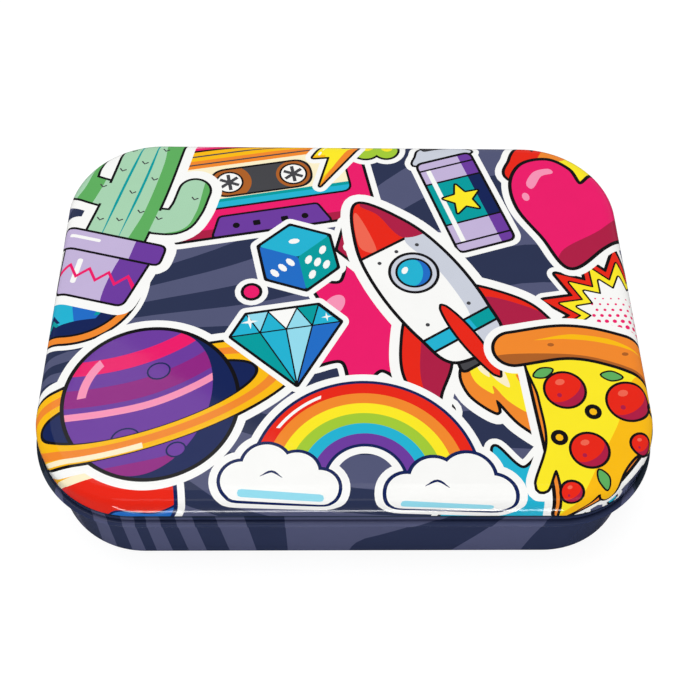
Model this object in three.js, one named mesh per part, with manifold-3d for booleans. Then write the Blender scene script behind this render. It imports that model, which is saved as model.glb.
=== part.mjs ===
// A shallow hinged tin box with rounded corners: a drawn tray, an overlapping lid with a rolled rim,
// and two hinge wires held in the rolled rim at the back. Millimetres, +Z up, front towards -Y.
import * as THREE from "three";
import { mergeVertices } from "three/addons/utils/BufferGeometryUtils.js";
import Module from "manifold-3d";

const wasm = await Module();
wasm.setup();

// Driving dimensions
const plate = 0.25; // thickness of the tinplate
const seatGap = 0.3; // between the lid's shoulder and the tray's rim, which it rests on

const lidWidth = 146; // over the skirt, without the rolled rim
const lidDepth = 108.8;
const lidHeight = 12.4;
const lidCornerRadius = 23.7;
const lidShoulderRadius = 4;
const lidRimRadius = 0.85; // outside of the rolled rim at the skirt's lower edge

const trayBelowLid = 19.6; // height of tray wall that shows under the closed lid
const trayInset = 1.2; // from the skirt's outer face to the tray's outer face
const trayCornerRadius = 22.8;
const trayRimRadius = 1; // outside of the curl at the tray's mouth
const trayBaseRadius = 0.8; // between the wall and the resting face
const footWidth = 4.5; // flat ring that the tray rests on
const baseRecess = 0.5; // how far the middle of the base is pressed in
const baseRecessRun = 1.2; // width of the slope up to the recess

const tongueWidth = 12; // hinge tongue cut from the tray's rear wall
const tongueSideGap = 0.5; // to the lid's rolled rim at each side
const hingeRunningGap = 0.25; // between the wire and what is curled round it
const notchTopGap = 0.4; // between the tongue's curl and the skirt above it
const wireSeat = 6; // length of wire held in the rolled rim at each side
const wireEndMargin = 6.8; // from a wire's end to where the lid's corner starts

const overrun = 1; // how far a cut runs past the face it opens

// Facets: steps for each whole arc
const cornerSteps = 8;
const shoulderSteps = 5;
const lidRimSteps = 12;
const trayRimSteps = 10;
const baseSteps = 4;
const wireSides = 12;

// Angles in degrees, in a section where the first axis points out of the box and the second points up
const lidRimEndAngle = 470; // where the rolled rim's sheet ends, tucked in over the top
const trayRimEndAngle = 250; // where the mouth's curl ends, tucked in under itself
const tongueEndAngle = 160; // where the tongue ends, nearly back at the wall
const quarterTurn = 90;
const halfTurn = 180;

// Places that follow from the sizes
const lidRimBore = lidRimRadius - plate; // also how far the rolled rim's centre stands out from the skirt
const wireRadius = lidRimBore - hingeRunningGap;
const hingeY = lidDepth / 2 + lidRimBore;
const hingeZ = trayBelowLid + lidRimRadius;
const trayWidth = lidWidth - 2 * trayInset;
const trayDepth = lidDepth - 2 * trayInset;
const trayWallY = trayDepth / 2;
const notchWidth = tongueWidth + 2 * tongueSideGap;
const hingeX = lidWidth / 2 - lidCornerRadius - wireEndMargin - wireSeat - notchWidth / 2;

// The curl at the mouth nests in the lid's shoulder, seatGap away from it.
const nestRadius = lidShoulderRadius - plate - trayRimRadius - seatGap;
const nestAcross = trayInset + trayRimRadius - lidShoulderRadius;
const nestRise = Math.sqrt(Math.max(0, nestRadius ** 2 - nestAcross ** 2));
const trayHeight = trayBelowLid + lidHeight - lidShoulderRadius + nestRise + trayRimRadius;

// Colours of the print and the metal
const printMaterial = new THREE.MeshStandardMaterial({ color: 0x3a4266, roughness: 0.3, metalness: 0.1 });
const lidMaterial = new THREE.MeshStandardMaterial({ color: 0x2d3652, roughness: 0.3, metalness: 0.1 });
const wireMaterial = new THREE.MeshStandardMaterial({ color: 0xb9bcc0, roughness: 0.35, metalness: 1 });

// Points of an arc, each [across, up]
function arc(across, up, radius, fromDegrees, toDegrees, steps) {
  return Array.from({ length: steps + 1 }, (_, i) => {
    const angle = THREE.MathUtils.degToRad(fromDegrees + ((toDegrees - fromDegrees) * i) / steps);
    return [across + radius * Math.cos(angle), up + radius * Math.sin(angle)];
  });
}

// One ring of a rounded rectangle, moved out by offset and up to height
function ring(width, depth, radius, offset, height) {
  const x = width / 2 - radius;
  const y = depth / 2 - radius;
  const path = new THREE.Path();
  const centres = [
    [x, y],
    [-x, y],
    [-x, -y],
    [x, -y],
  ];
  centres.forEach(([cx, cy], i) => {
    const start = (i * Math.PI) / 2;
    path.absarc(cx, cy, radius + offset, start, start + Math.PI / 2, false);
  });
  // getPoints gives an arc twice the divisions that it is asked for.
  return path.getPoints(cornerSteps / 2).map((p) => [p.x, p.y, height]);
}

// A closed sheet-metal pressing: section points [offset, height] swept round a rounded rectangle.
// The section starts at a panel that faces up, and the first and last rings are closed with flat panels.
function pressing(width, depth, radius, section) {
  const rings = section.map(([offset, height]) => ring(width, depth, radius, offset, height));
  const count = rings[0].length;
  const positions = rings.flat(2);
  const faces = [];
  for (let r = 0; r + 1 < rings.length; r++) {
    for (let i = 0; i < count; i++) {
      const a = r * count + i;
      const b = r * count + ((i + 1) % count);
      faces.push(a, a + count, b, b, a + count, b + count);
    }
  }
  const last = (rings.length - 1) * count;
  for (let i = 1; i + 1 < count; i++) {
    faces.push(0, i, i + 1);
    faces.push(last, last + i + 1, last + i);
  }
  const geometry = new THREE.BufferGeometry();
  geometry.setAttribute("position", new THREE.Float32BufferAttribute(positions, 3));
  geometry.setIndex(faces);
  return geometry;
}

// Booleans on closed geometries
function solid(geometry) {
  const bare = geometry.clone();
  bare.deleteAttribute("normal");
  bare.deleteAttribute("uv");
  const merged = mergeVertices(bare);
  return new wasm.Manifold(
    new wasm.Mesh({
      numProp: 3,
      vertProperties: merged.attributes.position.array,
      triVerts: new Uint32Array(merged.index.array),
    }),
  );
}

function geometryOf(manifold) {
  const mesh = manifold.getMesh();
  const geometry = new THREE.BufferGeometry();
  geometry.setAttribute("position", new THREE.Float32BufferAttribute(mesh.vertProperties, 3));
  geometry.setIndex(Array.from(mesh.triVerts));
  geometry.computeVertexNormals();
  return geometry;
}

// A box between two corners, as a solid
function block(low, high) {
  const size = high.map((value, axis) => value - low[axis]);
  const geometry = new THREE.BoxGeometry(...size);
  geometry.translate(...low.map((value, axis) => value + size[axis] / 2));
  return solid(geometry);
}

function mesh(name, geometry, material) {
  const made = new THREE.Mesh(geometry, material);
  made.name = name;
  return made;
}

const hingePlaces = [-hingeX, hingeX];

// Lid: flat panel, rounded shoulder, skirt, and a rim rolled outwards round its lower edge
function lidSection() {
  const shoulderZ = lidHeight - lidShoulderRadius;
  return [
    ...arc(-lidShoulderRadius, shoulderZ, lidShoulderRadius, quarterTurn, 0, shoulderSteps),
    ...arc(lidRimBore, lidRimRadius, lidRimBore, halfTurn, lidRimEndAngle, lidRimSteps),
    ...arc(lidRimBore, lidRimRadius, lidRimRadius, lidRimEndAngle, halfTurn, lidRimSteps),
    ...arc(-lidShoulderRadius, shoulderZ, lidShoulderRadius - plate, 0, quarterTurn, shoulderSteps),
  ].map(([offset, height]) => [offset, height + trayBelowLid]);
}

// The lid's rim is cut away at the back where each tongue comes through.
function makeLid() {
  const notchTop = hingeZ + lidRimRadius + notchTopGap;
  const shell = solid(pressing(lidWidth, lidDepth, lidCornerRadius, lidSection()));
  const notched = hingePlaces.reduce((lid, x) => {
    const low = [x - notchWidth / 2, trayWallY, trayBelowLid - overrun];
    const high = [x + notchWidth / 2, hingeY + lidRimRadius + overrun, notchTop];
    return lid.subtract(block(low, high));
  }, shell);
  return mesh("lid", geometryOf(notched), lidMaterial);
}

// Tray: recessed base on a flat foot ring, straight wall, and a mouth curled inwards
function traySection() {
  const mouthZ = trayHeight - trayRimRadius;
  const footInner = trayBaseRadius + footWidth;
  const panel = footInner + baseRecessRun;
  return [
    [-panel, baseRecess + plate],
    [-footInner, plate],
    ...arc(-trayBaseRadius, trayBaseRadius, trayBaseRadius - plate, -quarterTurn, 0, baseSteps),
    ...arc(-trayRimRadius, mouthZ, trayRimRadius - plate, 0, trayRimEndAngle, trayRimSteps),
    ...arc(-trayRimRadius, mouthZ, trayRimRadius, trayRimEndAngle, 0, trayRimSteps),
    ...arc(-trayBaseRadius, trayBaseRadius, trayBaseRadius, 0, -quarterTurn, baseSteps),
    [-footInner, 0],
    [-panel, baseRecess],
  ];
}

// A tongue of the rear wall, bent out at the foot of its window and curled round the hinge wire
function tongueSection() {
  const outer = arc(hingeY, hingeZ, lidRimRadius, -quarterTurn, tongueEndAngle, lidRimSteps);
  const inner = arc(hingeY, hingeZ, lidRimBore, tongueEndAngle, -quarterTurn, lidRimSteps);
  const rootY = trayWallY - plate;
  return [[rootY, hingeZ - lidRimRadius], ...outer, ...inner, [rootY, hingeZ - lidRimBore]];
}

// The section is drawn in Y and Z and extruded along X.
function tongue(x) {
  const shape = new THREE.Shape(tongueSection().map(([y, z]) => new THREE.Vector2(y, z)));
  const geometry = new THREE.ExtrudeGeometry(shape, { depth: tongueWidth, bevelEnabled: false });
  const alongX = new THREE.Matrix4().makeBasis(
    new THREE.Vector3(0, 1, 0),
    new THREE.Vector3(0, 0, 1),
    new THREE.Vector3(1, 0, 0),
  );
  geometry.applyMatrix4(alongX);
  geometry.translate(x - tongueWidth / 2, 0, 0);
  return solid(geometry);
}

// The window is as tall as the length of sheet that the tongue takes.
function makeTray() {
  const curlTurn = THREE.MathUtils.degToRad(tongueEndAngle + quarterTurn);
  const tongueLength = hingeY - trayWallY + curlTurn * (lidRimRadius - plate / 2);
  const windowFoot = hingeZ - lidRimBore;
  const shell = solid(pressing(trayWidth, trayDepth, trayCornerRadius, traySection()));
  const hinged = hingePlaces.reduce((tray, x) => {
    const low = [x - tongueWidth / 2, trayWallY - plate - overrun, windowFoot];
    const high = [x + tongueWidth / 2, trayWallY + overrun, windowFoot + tongueLength];
    return tray.subtract(block(low, high)).add(tongue(x));
  }, shell);
  return mesh("tray", geometryOf(hinged), printMaterial);
}

// A straight length of steel wire through the tongue's curl and into the lid's rolled rim
function makeWire(name, x) {
  const length = notchWidth + 2 * wireSeat;
  const geometry = new THREE.CylinderGeometry(wireRadius, wireRadius, length, wireSides);
  const wire = mesh(name, geometry, wireMaterial);
  wire.rotation.z = Math.PI / 2;
  wire.position.set(x, hingeY, hingeZ);
  return wire;
}

const tinBox = new THREE.Group();
tinBox.add(makeTray(), makeLid());
["hinge_wire_left", "hinge_wire_right"].forEach((name, i) => tinBox.add(makeWire(name, hingePlaces[i])));

export default tinBox;
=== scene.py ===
import math
from collections import namedtuple
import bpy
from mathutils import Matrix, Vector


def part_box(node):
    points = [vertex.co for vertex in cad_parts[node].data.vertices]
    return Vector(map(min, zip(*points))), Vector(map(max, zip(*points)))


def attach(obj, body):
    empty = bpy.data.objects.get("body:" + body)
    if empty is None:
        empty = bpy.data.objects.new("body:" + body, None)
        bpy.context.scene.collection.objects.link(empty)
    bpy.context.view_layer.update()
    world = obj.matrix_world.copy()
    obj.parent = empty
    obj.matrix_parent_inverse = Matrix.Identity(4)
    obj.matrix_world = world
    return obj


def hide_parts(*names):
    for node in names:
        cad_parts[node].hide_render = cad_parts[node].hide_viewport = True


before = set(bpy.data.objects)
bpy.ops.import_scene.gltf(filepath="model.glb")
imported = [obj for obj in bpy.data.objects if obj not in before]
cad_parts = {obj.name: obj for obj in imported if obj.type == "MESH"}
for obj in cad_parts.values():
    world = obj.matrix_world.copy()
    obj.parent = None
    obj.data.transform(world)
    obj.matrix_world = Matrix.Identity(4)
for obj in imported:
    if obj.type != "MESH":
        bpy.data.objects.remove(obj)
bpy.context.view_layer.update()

from types import SimpleNamespace

import bmesh
import bpy
import numpy as np
from bpy.props import FloatProperty, FloatVectorProperty, IntProperty, PointerProperty
from mathutils import Matrix, Vector
from mathutils.geometry import delaunay_2d_cdt
from mathutils.kdtree import KDTree

bl_info = {
    "name": "Printed tin box",
    "version": (1, 0, 0),
    "blender": (4, 5, 0),
    "location": "View3D > Sidebar > Tin box",
    "description": "Builds a shallow hinged tin box with a sticker print, and a studio round it",
    "category": "Add Mesh",
}

BARE = "bare_tinplate"
STEEL = "drawn_steel"

# Lengths are in millimetres, and become Blender's metres where a mesh is made
MM = 0.001
WELD = 0.004  # two points nearer than this are one
NO_LENGTH = 1e-6  # as good as nought
NO_DIVISOR = 1e-9  # stands in for nought under a fraction
CURVE_STEP = 0.7  # each straight step of a drawn curve
CORNER_STEP = 0.5  # each step round a rounded corner
CORNER_SHARE = 0.48  # of a side, the most that a rounded corner takes of it
ROUND_TURN = 0.35  # radians of each step round a corner of a grown outline
ROUND_END_STEPS = 5  # of a pen line's end, for each millimetre of its radius
SMALLEST_CUT = 2.0  # square millimetres, under which a mark gets no white border of its own
BEYOND = 200.0  # past every edge of the unrolled sheet
STICKER_GROUND = (-100, -80, 100, 80)  # left, low, right and high edges, past those of the stickers
FOLD_ANGLE = math.radians(40)  # sharper folds aren't shaded smooth
SHARP_SUM = 1.8  # length of the sum of two unit normals, under which the fold between them stays sharp

# Degrees at which each curl of the sheet ends, with nought straight outwards
LID_RIM_END = 488  # it leaves the skirt at 180
MOUTH_RIM_END = 250  # it leaves the tray's wall at 0
TONGUE_END = 160  # it leaves the tray's wall at -90


# Properties
def offset(label, about, millimetres, **limits):
    value = millimetres * MM
    return FloatProperty(name=label, description=about, default=value, precision=5, unit="LENGTH", **limits)


def length(label, about, millimetres):
    return offset(label, about, millimetres, min=0.0)


def bearing(label, about, radians):
    return FloatProperty(name=label, description=about, default=radians, subtype="ANGLE")


def wattage(label, about, watts):
    return FloatProperty(name=label, description=about, default=watts, min=0.0, unit="POWER")


def brightness(label, about, value):
    return FloatProperty(name=label, description=about, default=value, min=0.0)


def facets(label, about, count, least):
    return IntProperty(name=label, description=about, default=count, min=least)


def linear(code):
    """A colour written as six hexadecimal digits, in Blender's own linear values."""
    shares = [int(code[i : i + 2], 16) / 255 for i in (0, 2, 4)]
    return tuple(c / 12.92 if c <= 0.04045 else ((c + 0.055) / 1.055) ** 2.4 for c in shares)


def tint(label, code):
    about = f"{label} ink of the print"
    look = {"default": linear(code), "min": 0.0, "max": 1.0, "subtype": "COLOR"}
    return FloatVectorProperty(name=label, description=about, **look)


class TINBOX_PG_sheet(bpy.types.PropertyGroup):
    plate: length("Plate", "Thickness of the tinplate", 0.25)
    lid_corner: length("Lid corner", "Corner radius of the lid, over the skirt", 23.7)
    shoulder: length("Shoulder", "Radius between the lid's panel and its skirt", 4.0)
    lid_rim: length("Lid rim", "Outside radius of the lid's rolled rim", 0.85)
    art_edge: length("Edge of the print", "From the lid's lower edge up to where the stickers end", 3.7)
    # The band under the stickers is printed in darkened navy and slate: painted shade of the groove above
    # the rolled rim
    painted_shade_band: length("Dim band", "Height of the darker band under the stickers", 0.8)
    tray_corner: length("Tray corner", "Corner radius of the tray's wall", 22.8)
    mouth_rim: length("Mouth rim", "Outside radius of the curl at the tray's mouth", 1.0)
    mouth_bare: length("Bare mouth", "Unprinted band under the tray's mouth", 5.0)
    base_bend: length("Base bend", "Radius between the tray's wall and its foot", 0.8)
    foot: length("Foot", "Width of the flat ring that the tray rests on", 4.5)
    hidden: length("Hidden wall", "Height of the tray's wall that the lid's rim hides from the camera", 5.2)
    recess: length("Recess", "How far the middle of the base is pressed in", 0.5)
    recess_run: length("Recess slope", "Width of the slope up to the recess", 1.2)
    running_gap: length("Running gap", "Between a hinge wire and what is curled round it", 0.25)
    notch_gap: length("Notch gap", "Between a hinge tongue and the lid's notch round it", 0.4)
    notch_side: length("Notch side gap", "Between a hinge tongue and the notch at each side", 0.5)
    tongue: length("Tongue", "Width of each hinge tongue", 12.0)
    corner_steps: facets("Corner steps", "Facets in each corner", 26, 4)
    shoulder_steps: facets("Shoulder steps", "Facets over the lid's shoulder", 14, 3)
    rim_steps: facets("Rim steps", "Facets round each rolled rim", 30, 8)


class TINBOX_PG_inks(bpy.types.PropertyGroup):
    navy: tint("Navy", "2c3452")
    slate: tint("Slate", "545878")
    white: tint("White", "fcfcfa")
    black: tint("Black", "100e12")
    midnight: tint("Midnight", "132358")
    charcoal: tint("Charcoal", "46464a")
    red: tint("Red", "eb2818")
    crimson: tint("Crimson", "b01e46")
    coral: tint("Coral", "f36852")
    orange: tint("Orange", "f58b2e")
    amber: tint("Amber", "fdbe14")
    yellow: tint("Yellow", "ffec28")
    cream: tint("Cream", "fff3cd")
    lime: tint("Lime", "a4cd39")
    green: tint("Green", "60b060")
    mint: tint("Mint", "aad6b4")
    teal: tint("Teal", "009ea0")
    turquoise: tint("Turquoise", "24b5d5")
    sky: tint("Sky", "96def0")
    blue: tint("Blue", "226ec8")
    violet: tint("Violet", "6e3ca0")
    purple: tint("Purple", "922584")
    lavender: tint("Lavender", "c6b6dc")
    magenta: tint("Magenta", "ef1c6c")
    pink: tint("Pink", "fa96b9")
    grey: tint("Grey", "cdd2de")
    brown: tint("Brown", "b06228")
    # Navy and slate darkened to paint shade: under the stickers' edge, and on the stripes round the lid's
    # corners
    deep_navy: tint("Deep navy", "1b2531")
    deep_slate: tint("Deep slate", "313a4b")


class TINBOX_PG_stage(bpy.types.PropertyGroup):
    lens: FloatProperty(name="Lens", description="The camera's focal length", default=56.874, unit="CAMERA")
    distance: length("Distance", "From the camera to the plane through the lid's lower edge", 286.716)
    elevation: bearing("Elevation", "Height of the camera above the horizon", 0.989019)
    turn: bearing("Turn", "Turn of the camera round the box", 0.0554813)
    roll: bearing("Roll", "Turn of the camera about its view", -0.0494038)
    aside: offset("Aside", "How far the middle of the view lies to the right of the box's middle", 1.7286)
    above: offset("Above", "How far the middle of the view lies above the box's middle", -5.2734)
    overhead: wattage("Overhead lamp", "Power of the large lamp", 11.8)
    front: wattage("Front lamp", "Power of the low lamp in front", 3.8)
    strip: wattage("Strip lamp", "Power of the strip that draws a bright line on the lid's front", 0.0024)
    world: brightness("World", "Level of the light from all round", 0.52)
    glow: brightness("Floor glow", "White of the floor that no shadow takes", 0.88)
    floor: length("Floor", "From the middle of the floor to each of its edges", 900.0)
    paper: brightness("Floor paper", "White of the floor that shadows take", 0.2)


# Drawing tools of the print. Outlines are points in millimetres, with y towards the back of the lid.
Mark = namedtuple("Mark", "ink outline within")


def mark(ink, outline, within=None):
    """A plain area of ink, kept inside another outline if there is one."""
    return Mark(ink, np.asarray(outline, float), None if within is None else np.asarray(within, float))


def marks_in(outline, *areas):
    """Plain areas of ink, all kept inside one outline."""
    return [mark(ink, area, outline) for ink, area in areas]


def turned(points, angle=0.0, scale=1.0, x=0.0, y=0.0):
    """The points turned by degrees about the origin, scaled, and moved to x and y."""
    a = math.radians(angle)
    matrix = np.array([[math.cos(a), math.sin(a)], [-math.sin(a), math.cos(a)]]) * scale
    return np.asarray(points, float) @ matrix + (x, y)


def flipped(points):
    """The points mirrored from left to right, and in the other order."""
    return (np.asarray(points, float) * (-1, 1))[::-1]


def both_sides(half):
    """A closed outline from its right half."""
    return np.vstack([half, flipped(half)])


def area_of(points):
    """The area inside, which is negative where the outline runs clockwise."""
    x, y = np.asarray(points).T
    return 0.5 * float(np.sum(x * np.roll(y, -1) - y * np.roll(x, -1)))


def curve(points, closed=True):
    """A smooth line through the points."""
    p = np.asarray(points, float)
    count = len(p)
    steps = []
    for i in range(count if closed else count - 1):
        b = p[i]
        c = p[(i + 1) % count]
        a = p[i - 1] if closed or i else 2 * b - c
        d = p[(i + 2) % count] if closed or i + 2 < count else 2 * c - b
        parts = max(2, math.ceil(np.linalg.norm(c - b) / CURVE_STEP))
        t = np.linspace(0, 1, parts, endpoint=False)[:, None]
        first_two = (c - a) * t + (2 * a - 5 * b + 4 * c - d) * t**2
        steps.append(b + 0.5 * (first_two + (3 * b - a - 3 * c + d) * t**3))
    if not closed:
        steps.append(p[-1:])
    return np.vstack(steps)


def oval(x, y, across, up=None, angle=0.0, start=0.0, end=360.0):
    """An ellipse of those half widths, or a circle where up isn't given, from one angle to another."""
    up = across if up is None else up
    span = abs(end - start)
    count = max(8, math.ceil(math.radians(span) * max(across, up) / CURVE_STEP))
    turns = np.radians(np.linspace(start, end, count, endpoint=span < 360.0))
    return turned(np.stack([across * np.cos(turns), up * np.sin(turns)], 1), angle, 1.0, x, y)


def rounded(points, radius):
    """The polygon with its corners rounded."""
    p = np.asarray(points, float)
    steps = []
    for a, b, c in zip(np.roll(p, 1, 0), p, np.roll(p, -1, 0)):
        back, on = a - b, c - b
        cut = min(radius, CORNER_SHARE * np.linalg.norm(back), CORNER_SHARE * np.linalg.norm(on))
        start = b + back / np.linalg.norm(back) * cut
        end = b + on / np.linalg.norm(on) * cut
        t = np.linspace(0, 1, max(3, math.ceil(cut / CORNER_STEP) + 1))[:, None]
        steps.append((1 - t) ** 2 * start + 2 * t * (1 - t) * b + t**2 * end)
    return np.vstack(steps)


def box(left, low, right, high, radius=0.0):
    """An oblong, with its corners rounded where a radius is given."""
    corners = np.array([(left, low), (right, low), (right, high), (left, high)], float)
    return rounded(corners, radius) if radius else corners


def star(outer, inner, count, x=0.0, y=0.0, radius=0.0):
    """A star of that many points, with its corners rounded where a radius is given."""
    turns = np.radians(90 + 180.0 / count * np.arange(2 * count))
    reach = np.where(np.arange(2 * count) % 2, inner, outer)
    points = np.stack([x + reach * np.cos(turns), y + reach * np.sin(turns)], 1)
    return rounded(points, radius) if radius else points


def band(outer, inner):
    """The area between two open lines that run the same way."""
    return np.vstack([outer, np.asarray(inner)[::-1]])


def arch(outer, inner, start=0, end=180, nip=0):
    """The band between two arcs, of which the inner one stops short by nip degrees at each end."""
    rim = oval(0, 0, outer, start=start, end=end)
    return band(rim, oval(0, 0, inner, start=start + nip, end=end - nip))


def grown(points, distance):
    """The outline moved outwards, round at its corners."""
    p = np.asarray(points, float)
    if area_of(p) < 0:
        p = p[::-1]
    p = p[np.linalg.norm(p - np.roll(p, 1, 0), axis=1) > NO_LENGTH]
    edge = np.roll(p, -1, 0) - p
    edge /= np.linalg.norm(edge, axis=1, keepdims=True)
    out = np.stack([edge[:, 1], -edge[:, 0]], 1)
    steps = []
    for point, a, b in zip(p, np.roll(out, 1, 0), out):
        bends = math.atan2(a[0] * b[1] - a[1] * b[0], a @ b)
        if bends > ROUND_TURN:
            turns = math.atan2(a[1], a[0]) + np.linspace(0, bends, math.ceil(bends / ROUND_TURN) + 1)
            steps += [point + distance * np.array([math.cos(t), math.sin(t)]) for t in turns]
        elif bends < -2 * ROUND_TURN:
            steps += [point + distance * a, point + distance * b]
        else:
            steps.append(point + distance * (a + b) * 2 / ((a + b) @ (a + b)))
    return np.array(steps)


def round_end(centre, direction, radius):
    """The round end of a pen line."""
    lean = math.atan2(direction[1], direction[0])
    turns = np.linspace(-math.pi / 2, math.pi / 2, max(4, int(radius * ROUND_END_STEPS) + 2))
    turns = turns[1:-1] + lean
    return centre + radius * np.stack([np.cos(turns), np.sin(turns)], 1)


def stroke(points, width, start=1.0, end=1.0, smooth=True):
    """A pen line. Start and end are its width there, as shares of the full width."""
    p = curve(points, False) if smooth and len(points) > 2 else np.asarray(points, float)
    way = np.gradient(p, axis=0)
    way /= np.linalg.norm(way, axis=1, keepdims=True)
    side = np.stack([-way[:, 1], way[:, 0]], 1)
    thirds = np.linspace(0, 3, len(p))
    share = np.minimum(start + (1 - start) * thirds, end + (1 - end) * (3 - thirds))
    half = width / 2 * np.clip(share, 0, 1)
    reach = side * half[:, None]
    last = round_end(p[-1], way[-1], half[-1])
    first = round_end(p[0], -way[0], half[0])
    return np.vstack([p - reach, last, (p + reach)[::-1], first])


def shade(x, y, radius, depth, angle):
    """The crescent of shade on one side of a disc."""
    rim = oval(0, 0, radius, radius, 0, -90, 90)
    return turned(band(rim, rim * ((radius - depth) / radius, 1)), angle, 1.0, x, y)


def inked(ink, outline, pen=0.7, line="black", within=None):
    """An area of ink with a pen line round it."""
    return [mark(line, grown(outline, pen), within), mark(ink, outline, within)]


def placed(marks, x, y, angle=0.0, scale=1.0):
    """The marks turned, scaled and moved as one."""

    def at(outline):
        return None if outline is None else turned(outline, angle, scale, x, y)

    return [Mark(m.ink, at(m.outline), at(m.within)) for m in marks]


def cut_out(marks, border):
    """The marks on white paper that is cut a border's width outside them."""
    outer = [m for m in marks if m.within is None and abs(area_of(m.outline)) > SMALLEST_CUT]
    return [mark("white", grown(m.outline, border)) for m in outer] + marks


# Motifs of the print, each about its own middle
def rocket():
    hull = curve(both_sides([(1.3, 30.6), (4.8, 25), (8.2, 16), (9.6, 4), (8.8, -8), (6.0, -17)]))
    fin = curve([(7.5, -2), (13, -7), (17.5, -15), (17.6, -25), (13, -21.5), (7, -16.5), (5.5, -10)])
    keel = curve(both_sides([(0.5, -4), (1.5, -9), (1.7, -16), (0.7, -24)]))
    flame = curve(
        [(-5.2, -19), (-8.2, -25), (-6.0, -32), (-4.2, -29.5), (-3.4, -37), (0, -44), (3.2, -36.5)]
        + [(4.6, -30), (6.6, -32), (8.0, -25), (5.2, -19)]
    )
    marks = inked("orange", flame)
    marks += [mark("yellow", turned(flame, 0, 0.66, 0, -6.8))]
    marks += [mark("cream", turned(flame, 0, 0.36, 0, -12.6))]
    for side in (fin, flipped(fin)):
        marks += inked("red", side) + [mark("crimson", turned(side, 0, 1.0, 1.6, -4.5), side)]
    marks += inked("charcoal", rounded([(-5, -16), (5, -16), (6, -20), (-6, -20)], 0.8))
    marks += inked("white", hull, 0.8)
    marks += marks_in(
        hull,
        ("red", box(-12, 17.2, 12, 34)),
        ("coral", curve([(-4.0, 17), (-6.5, 20), (-3.4, 27.5), (-1.6, 29), (-2.4, 22)])),
        ("black", box(-12, 16.5, 12, 17.2)),
        ("grey", curve([(3.6, 16.5), (5.2, 6), (4.6, -6), (2.2, -18), (12, -18), (14, 0), (11, 16.5)])),
        ("crimson", curve([(3.8, 17.2), (2.4, 26), (0.6, 31), (9, 31), (12, 17.2)])),
        ("black", box(-12, -13.0, 12, -8.8)),
        ("turquoise", box(-12, -12.4, 12, -9.4)),
        ("teal", box(3.2, -12.4, 12, -9.4)),
    )
    marks += inked("grey", oval(0, 7.5, 5.2)) + inked("turquoise", oval(0, 7.5, 3.7), 0.55)
    marks += [mark("blue", shade(0, 7.5, 3.7, 1.6, -35)), mark("white", oval(-1.4, 9.1, 1.1, 0.7, 35))]
    rivets = ((-5.2, 13.8), (0, 14.6), (5.2, 13.8), (-5.6, -6), (5.6, -6))
    marks += [mark("charcoal", oval(x, y, 0.5)) for x, y in rivets]
    return marks + inked("red", keel, 0.6)


def planet():
    globe = oval(0, 0, 17)

    def ring(outer, inner, start=0, end=359.9):
        rims = [oval(0, 0, r, r * lean, 0, start, end) for r, lean in ((outer, 0.31), (inner, 0.28))]
        return band(*rims)

    def belt(y, wide, lift):
        top = np.array([(-19, lift), (-9, -1.2), (0, -2.2), (9, -1.4), (19, lift)]) + (0, y)
        return band(curve(top, False), curve(top - (0, wide), False))

    amber, orange = ("amber", ring(32, 22.5)), ("orange", ring(28.4, 25.6))
    marks = [mark("black", oval(0, 0, 32.7, 10.6)), mark(*amber), mark(*orange)]
    marks += [mark("black", oval(0, 0, 22.5, 6.3)), mark("midnight", oval(0, 0, 21.8, 5.6))]
    marks += inked("violet", globe, 0.8)
    marks += marks_in(
        globe,
        ("magenta", belt(14.5, 3.4, 1.5)),
        ("purple", belt(7.8, 4.2, 1.2)),
        ("pink", belt(2.4, 1.6, 1.0)),
        ("magenta", belt(-4.6, 3.2, 0.6)),
        ("purple", belt(-10.6, 3.6, 0.4)),
        ("midnight", shade(0, 0, 17, 5.5, -38)),
        ("pink", arch(14.6, 12.9, 118, 158, 2)),
    )
    for x, y, size in ((-7, -6.5, 2.6), (1.5, -12.2, 1.7), (3.5, 6.2, 2.1)):
        marks += inked("violet", oval(x, y, size, size * 0.8), 0.35, "midnight")
    marks += marks_in(box(-40, -20, 40, 0), ("black", ring(32.7, 21.8)), amber, orange)
    marks += [mark("cream", ring(31.2, 30.2, 205, 262))]
    return placed(marks, 0, 0, 17)


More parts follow.
